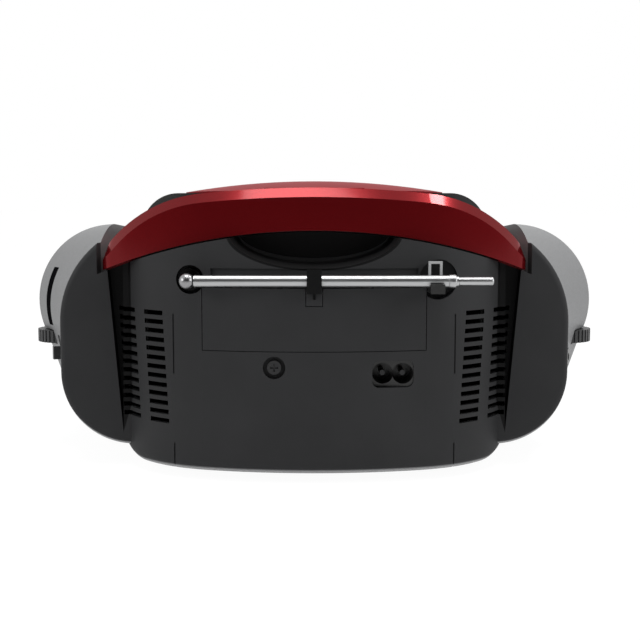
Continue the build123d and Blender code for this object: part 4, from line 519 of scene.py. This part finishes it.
# Camera: a long lens level with the handle, behind the set, as in the photograph.
# It looks down a little, and is shifted sideways by as much as the photograph's framing needs.
CAMERA_Y = 0.560
CAMERA_Z = 0.1165
PITCH = 5.71
lens = bpy.data.cameras.new("camera")
lens.sensor_width = 36.0
lens.lens = 61.9
lens.shift_x = 0.009
lens.clip_start = 0.01
camera = bpy.data.objects.new("camera", lens)
camera.location = (0, CAMERA_Y, CAMERA_Z)
camera.rotation_euler = (radians(90 - PITCH), 0, pi)
bpy.context.scene.collection.objects.link(camera)
bpy.context.scene.camera = camera

# Studio floor: a pale sheet that runs to the horizon.
# It looks white to the camera and in polished surfaces, and keeps the set's shadow.
FLOOR_HALF = 30.0
FLOOR_GLOW = 1.06
GLOW_SHARE = 0.90
ROOM_LIGHT = 0.48
floor_mesh = bmesh.new()
bmesh.ops.create_grid(floor_mesh, x_segments=1, y_segments=1, size=FLOOR_HALF)
floor_data = bpy.data.meshes.new("floor")
floor_mesh.to_mesh(floor_data)
floor_mesh.free()
floor = bpy.data.objects.new("floor", floor_data)
bpy.context.scene.collection.objects.link(floor)
floor_paint, floor_tree, floor_shader, floor_add = node_tree("pale_floor")
floor_shader.inputs["Base Color"].default_value = (0.90, 0.90, 0.90, 1.0)
floor_shader.inputs["Roughness"].default_value = 0.9
glow = floor_add("ShaderNodeEmission", Color=(1, 1, 1, 1), Strength=FLOOR_GLOW).outputs["Emission"]
floor_path = floor_add("ShaderNodeLightPath")
seen = floor_add("ShaderNodeMath", {"operation": "MAXIMUM"})
floor_tree.links.new(floor_path.outputs["Is Camera Ray"], seen.inputs[0])
mirrored = floor_add("ShaderNodeMath", {"operation": "MAXIMUM"})
floor_tree.links.new(floor_path.outputs["Is Glossy Ray"], mirrored.inputs[0])
floor_tree.links.new(floor_path.outputs["Is Transmission Ray"], mirrored.inputs[1])
floor_tree.links.new(mirrored.outputs["Value"], seen.inputs[1])
share = floor_add("ShaderNodeMath", {"operation": "MULTIPLY"})
floor_tree.links.new(seen.outputs["Value"], share.inputs[0])
share.inputs[1].default_value = GLOW_SHARE
blended = floor_add("ShaderNodeMixShader", Fac=share.outputs["Value"])
floor_tree.links.new(floor_shader.outputs["BSDF"], blended.inputs[1])
floor_tree.links.new(glow, blended.inputs[2])
floor_tree.links.new(blended.outputs["Shader"], floor_tree.nodes["Material Output"].inputs["Surface"])
floor_data.materials.append(floor_paint)

# Black cloth hung behind the camera, which only polished surfaces see,
# so that the back isn't veiled by glare.
CLOTH_MIDDLE = (0, 1.3, 0.55)
CLOTH_HALF = (2.6, 1.2, 1.0, 1.0)
cloth_mesh = bmesh.new()
bmesh.ops.create_grid(cloth_mesh, x_segments=1, y_segments=1, size=1.0)
cloth_place = Matrix.Translation(CLOTH_MIDDLE) @ upright @ Matrix.Diagonal(CLOTH_HALF)
bmesh.ops.transform(cloth_mesh, matrix=cloth_place, verts=cloth_mesh.verts)
cloth_data = bpy.data.meshes.new("cloth")
cloth_mesh.to_mesh(cloth_data)
cloth_mesh.free()
cloth = bpy.data.objects.new("cloth", cloth_data)
bpy.context.scene.collection.objects.link(cloth)
cloth_data.materials.append(rubber)
cloth.visible_camera = False
cloth.visible_diffuse = False
cloth.visible_shadow = False
cloth.visible_transmission = False

# Surroundings of the studio: white to the camera and in reflections, weaker as light on the set.
# Soft panels hang above, at the far side for a glint on the handle, and at both sides.
world = bpy.data.worlds.new("studio")
bpy.context.scene.world = world
world.use_nodes = True
sky = world.node_tree
path = sky.nodes.new("ShaderNodeLightPath")
bright = sky.nodes.new("ShaderNodeMath")
bright.operation = "MAXIMUM"
sky.links.new(path.outputs["Is Camera Ray"], bright.inputs[0])
clear = sky.nodes.new("ShaderNodeMath")
clear.operation = "MAXIMUM"
sky.links.new(path.outputs["Is Glossy Ray"], clear.inputs[0])
sky.links.new(path.outputs["Is Transmission Ray"], clear.inputs[1])
sky.links.new(clear.outputs["Value"], bright.inputs[1])
level = sky.nodes.new("ShaderNodeMapRange")
sky.links.new(bright.outputs["Value"], level.inputs["Value"])
level.inputs["To Min"].default_value = ROOM_LIGHT
level.inputs["To Max"].default_value = 1.0
backdrop = sky.nodes["Background"]
backdrop.inputs["Color"].default_value = (1, 1, 1, 1)
sky.links.new(level.outputs["Result"], backdrop.inputs["Strength"])


def panel(name, place, aim, width, power):
    """Soft studio panel pointed at the set."""
    data = bpy.data.lights.new(name, "AREA")
    data.shape = "RECTANGLE"
    data.size = width
    data.size_y = width * 0.6
    data.energy = power
    lamp = bpy.data.objects.new(name, data)
    lamp.location = place
    lamp.rotation_euler = (Vector(aim) - Vector(place)).to_track_quat("-Z", "Y").to_euler()
    bpy.context.scene.collection.objects.link(lamp)


panel("top_panel_light", (0.05, 0.16, 0.95), (0, 0.02, 0.08), 0.5, 5.6)
panel("glint_panel_light", (-0.48, -0.06, 0.85), (-0.05, 0.085, 0.12), 0.17, 2.4)
panel("left_panel_light", (0.9, 0.5, 0.45), (0, 0.02, 0.06), 0.6, 3.0)
panel("right_panel_light", (-0.9, 0.5, 0.45), (0, 0.02, 0.06), 0.6, 3.0)

bpy.context.scene.view_settings.view_transform = "Standard"
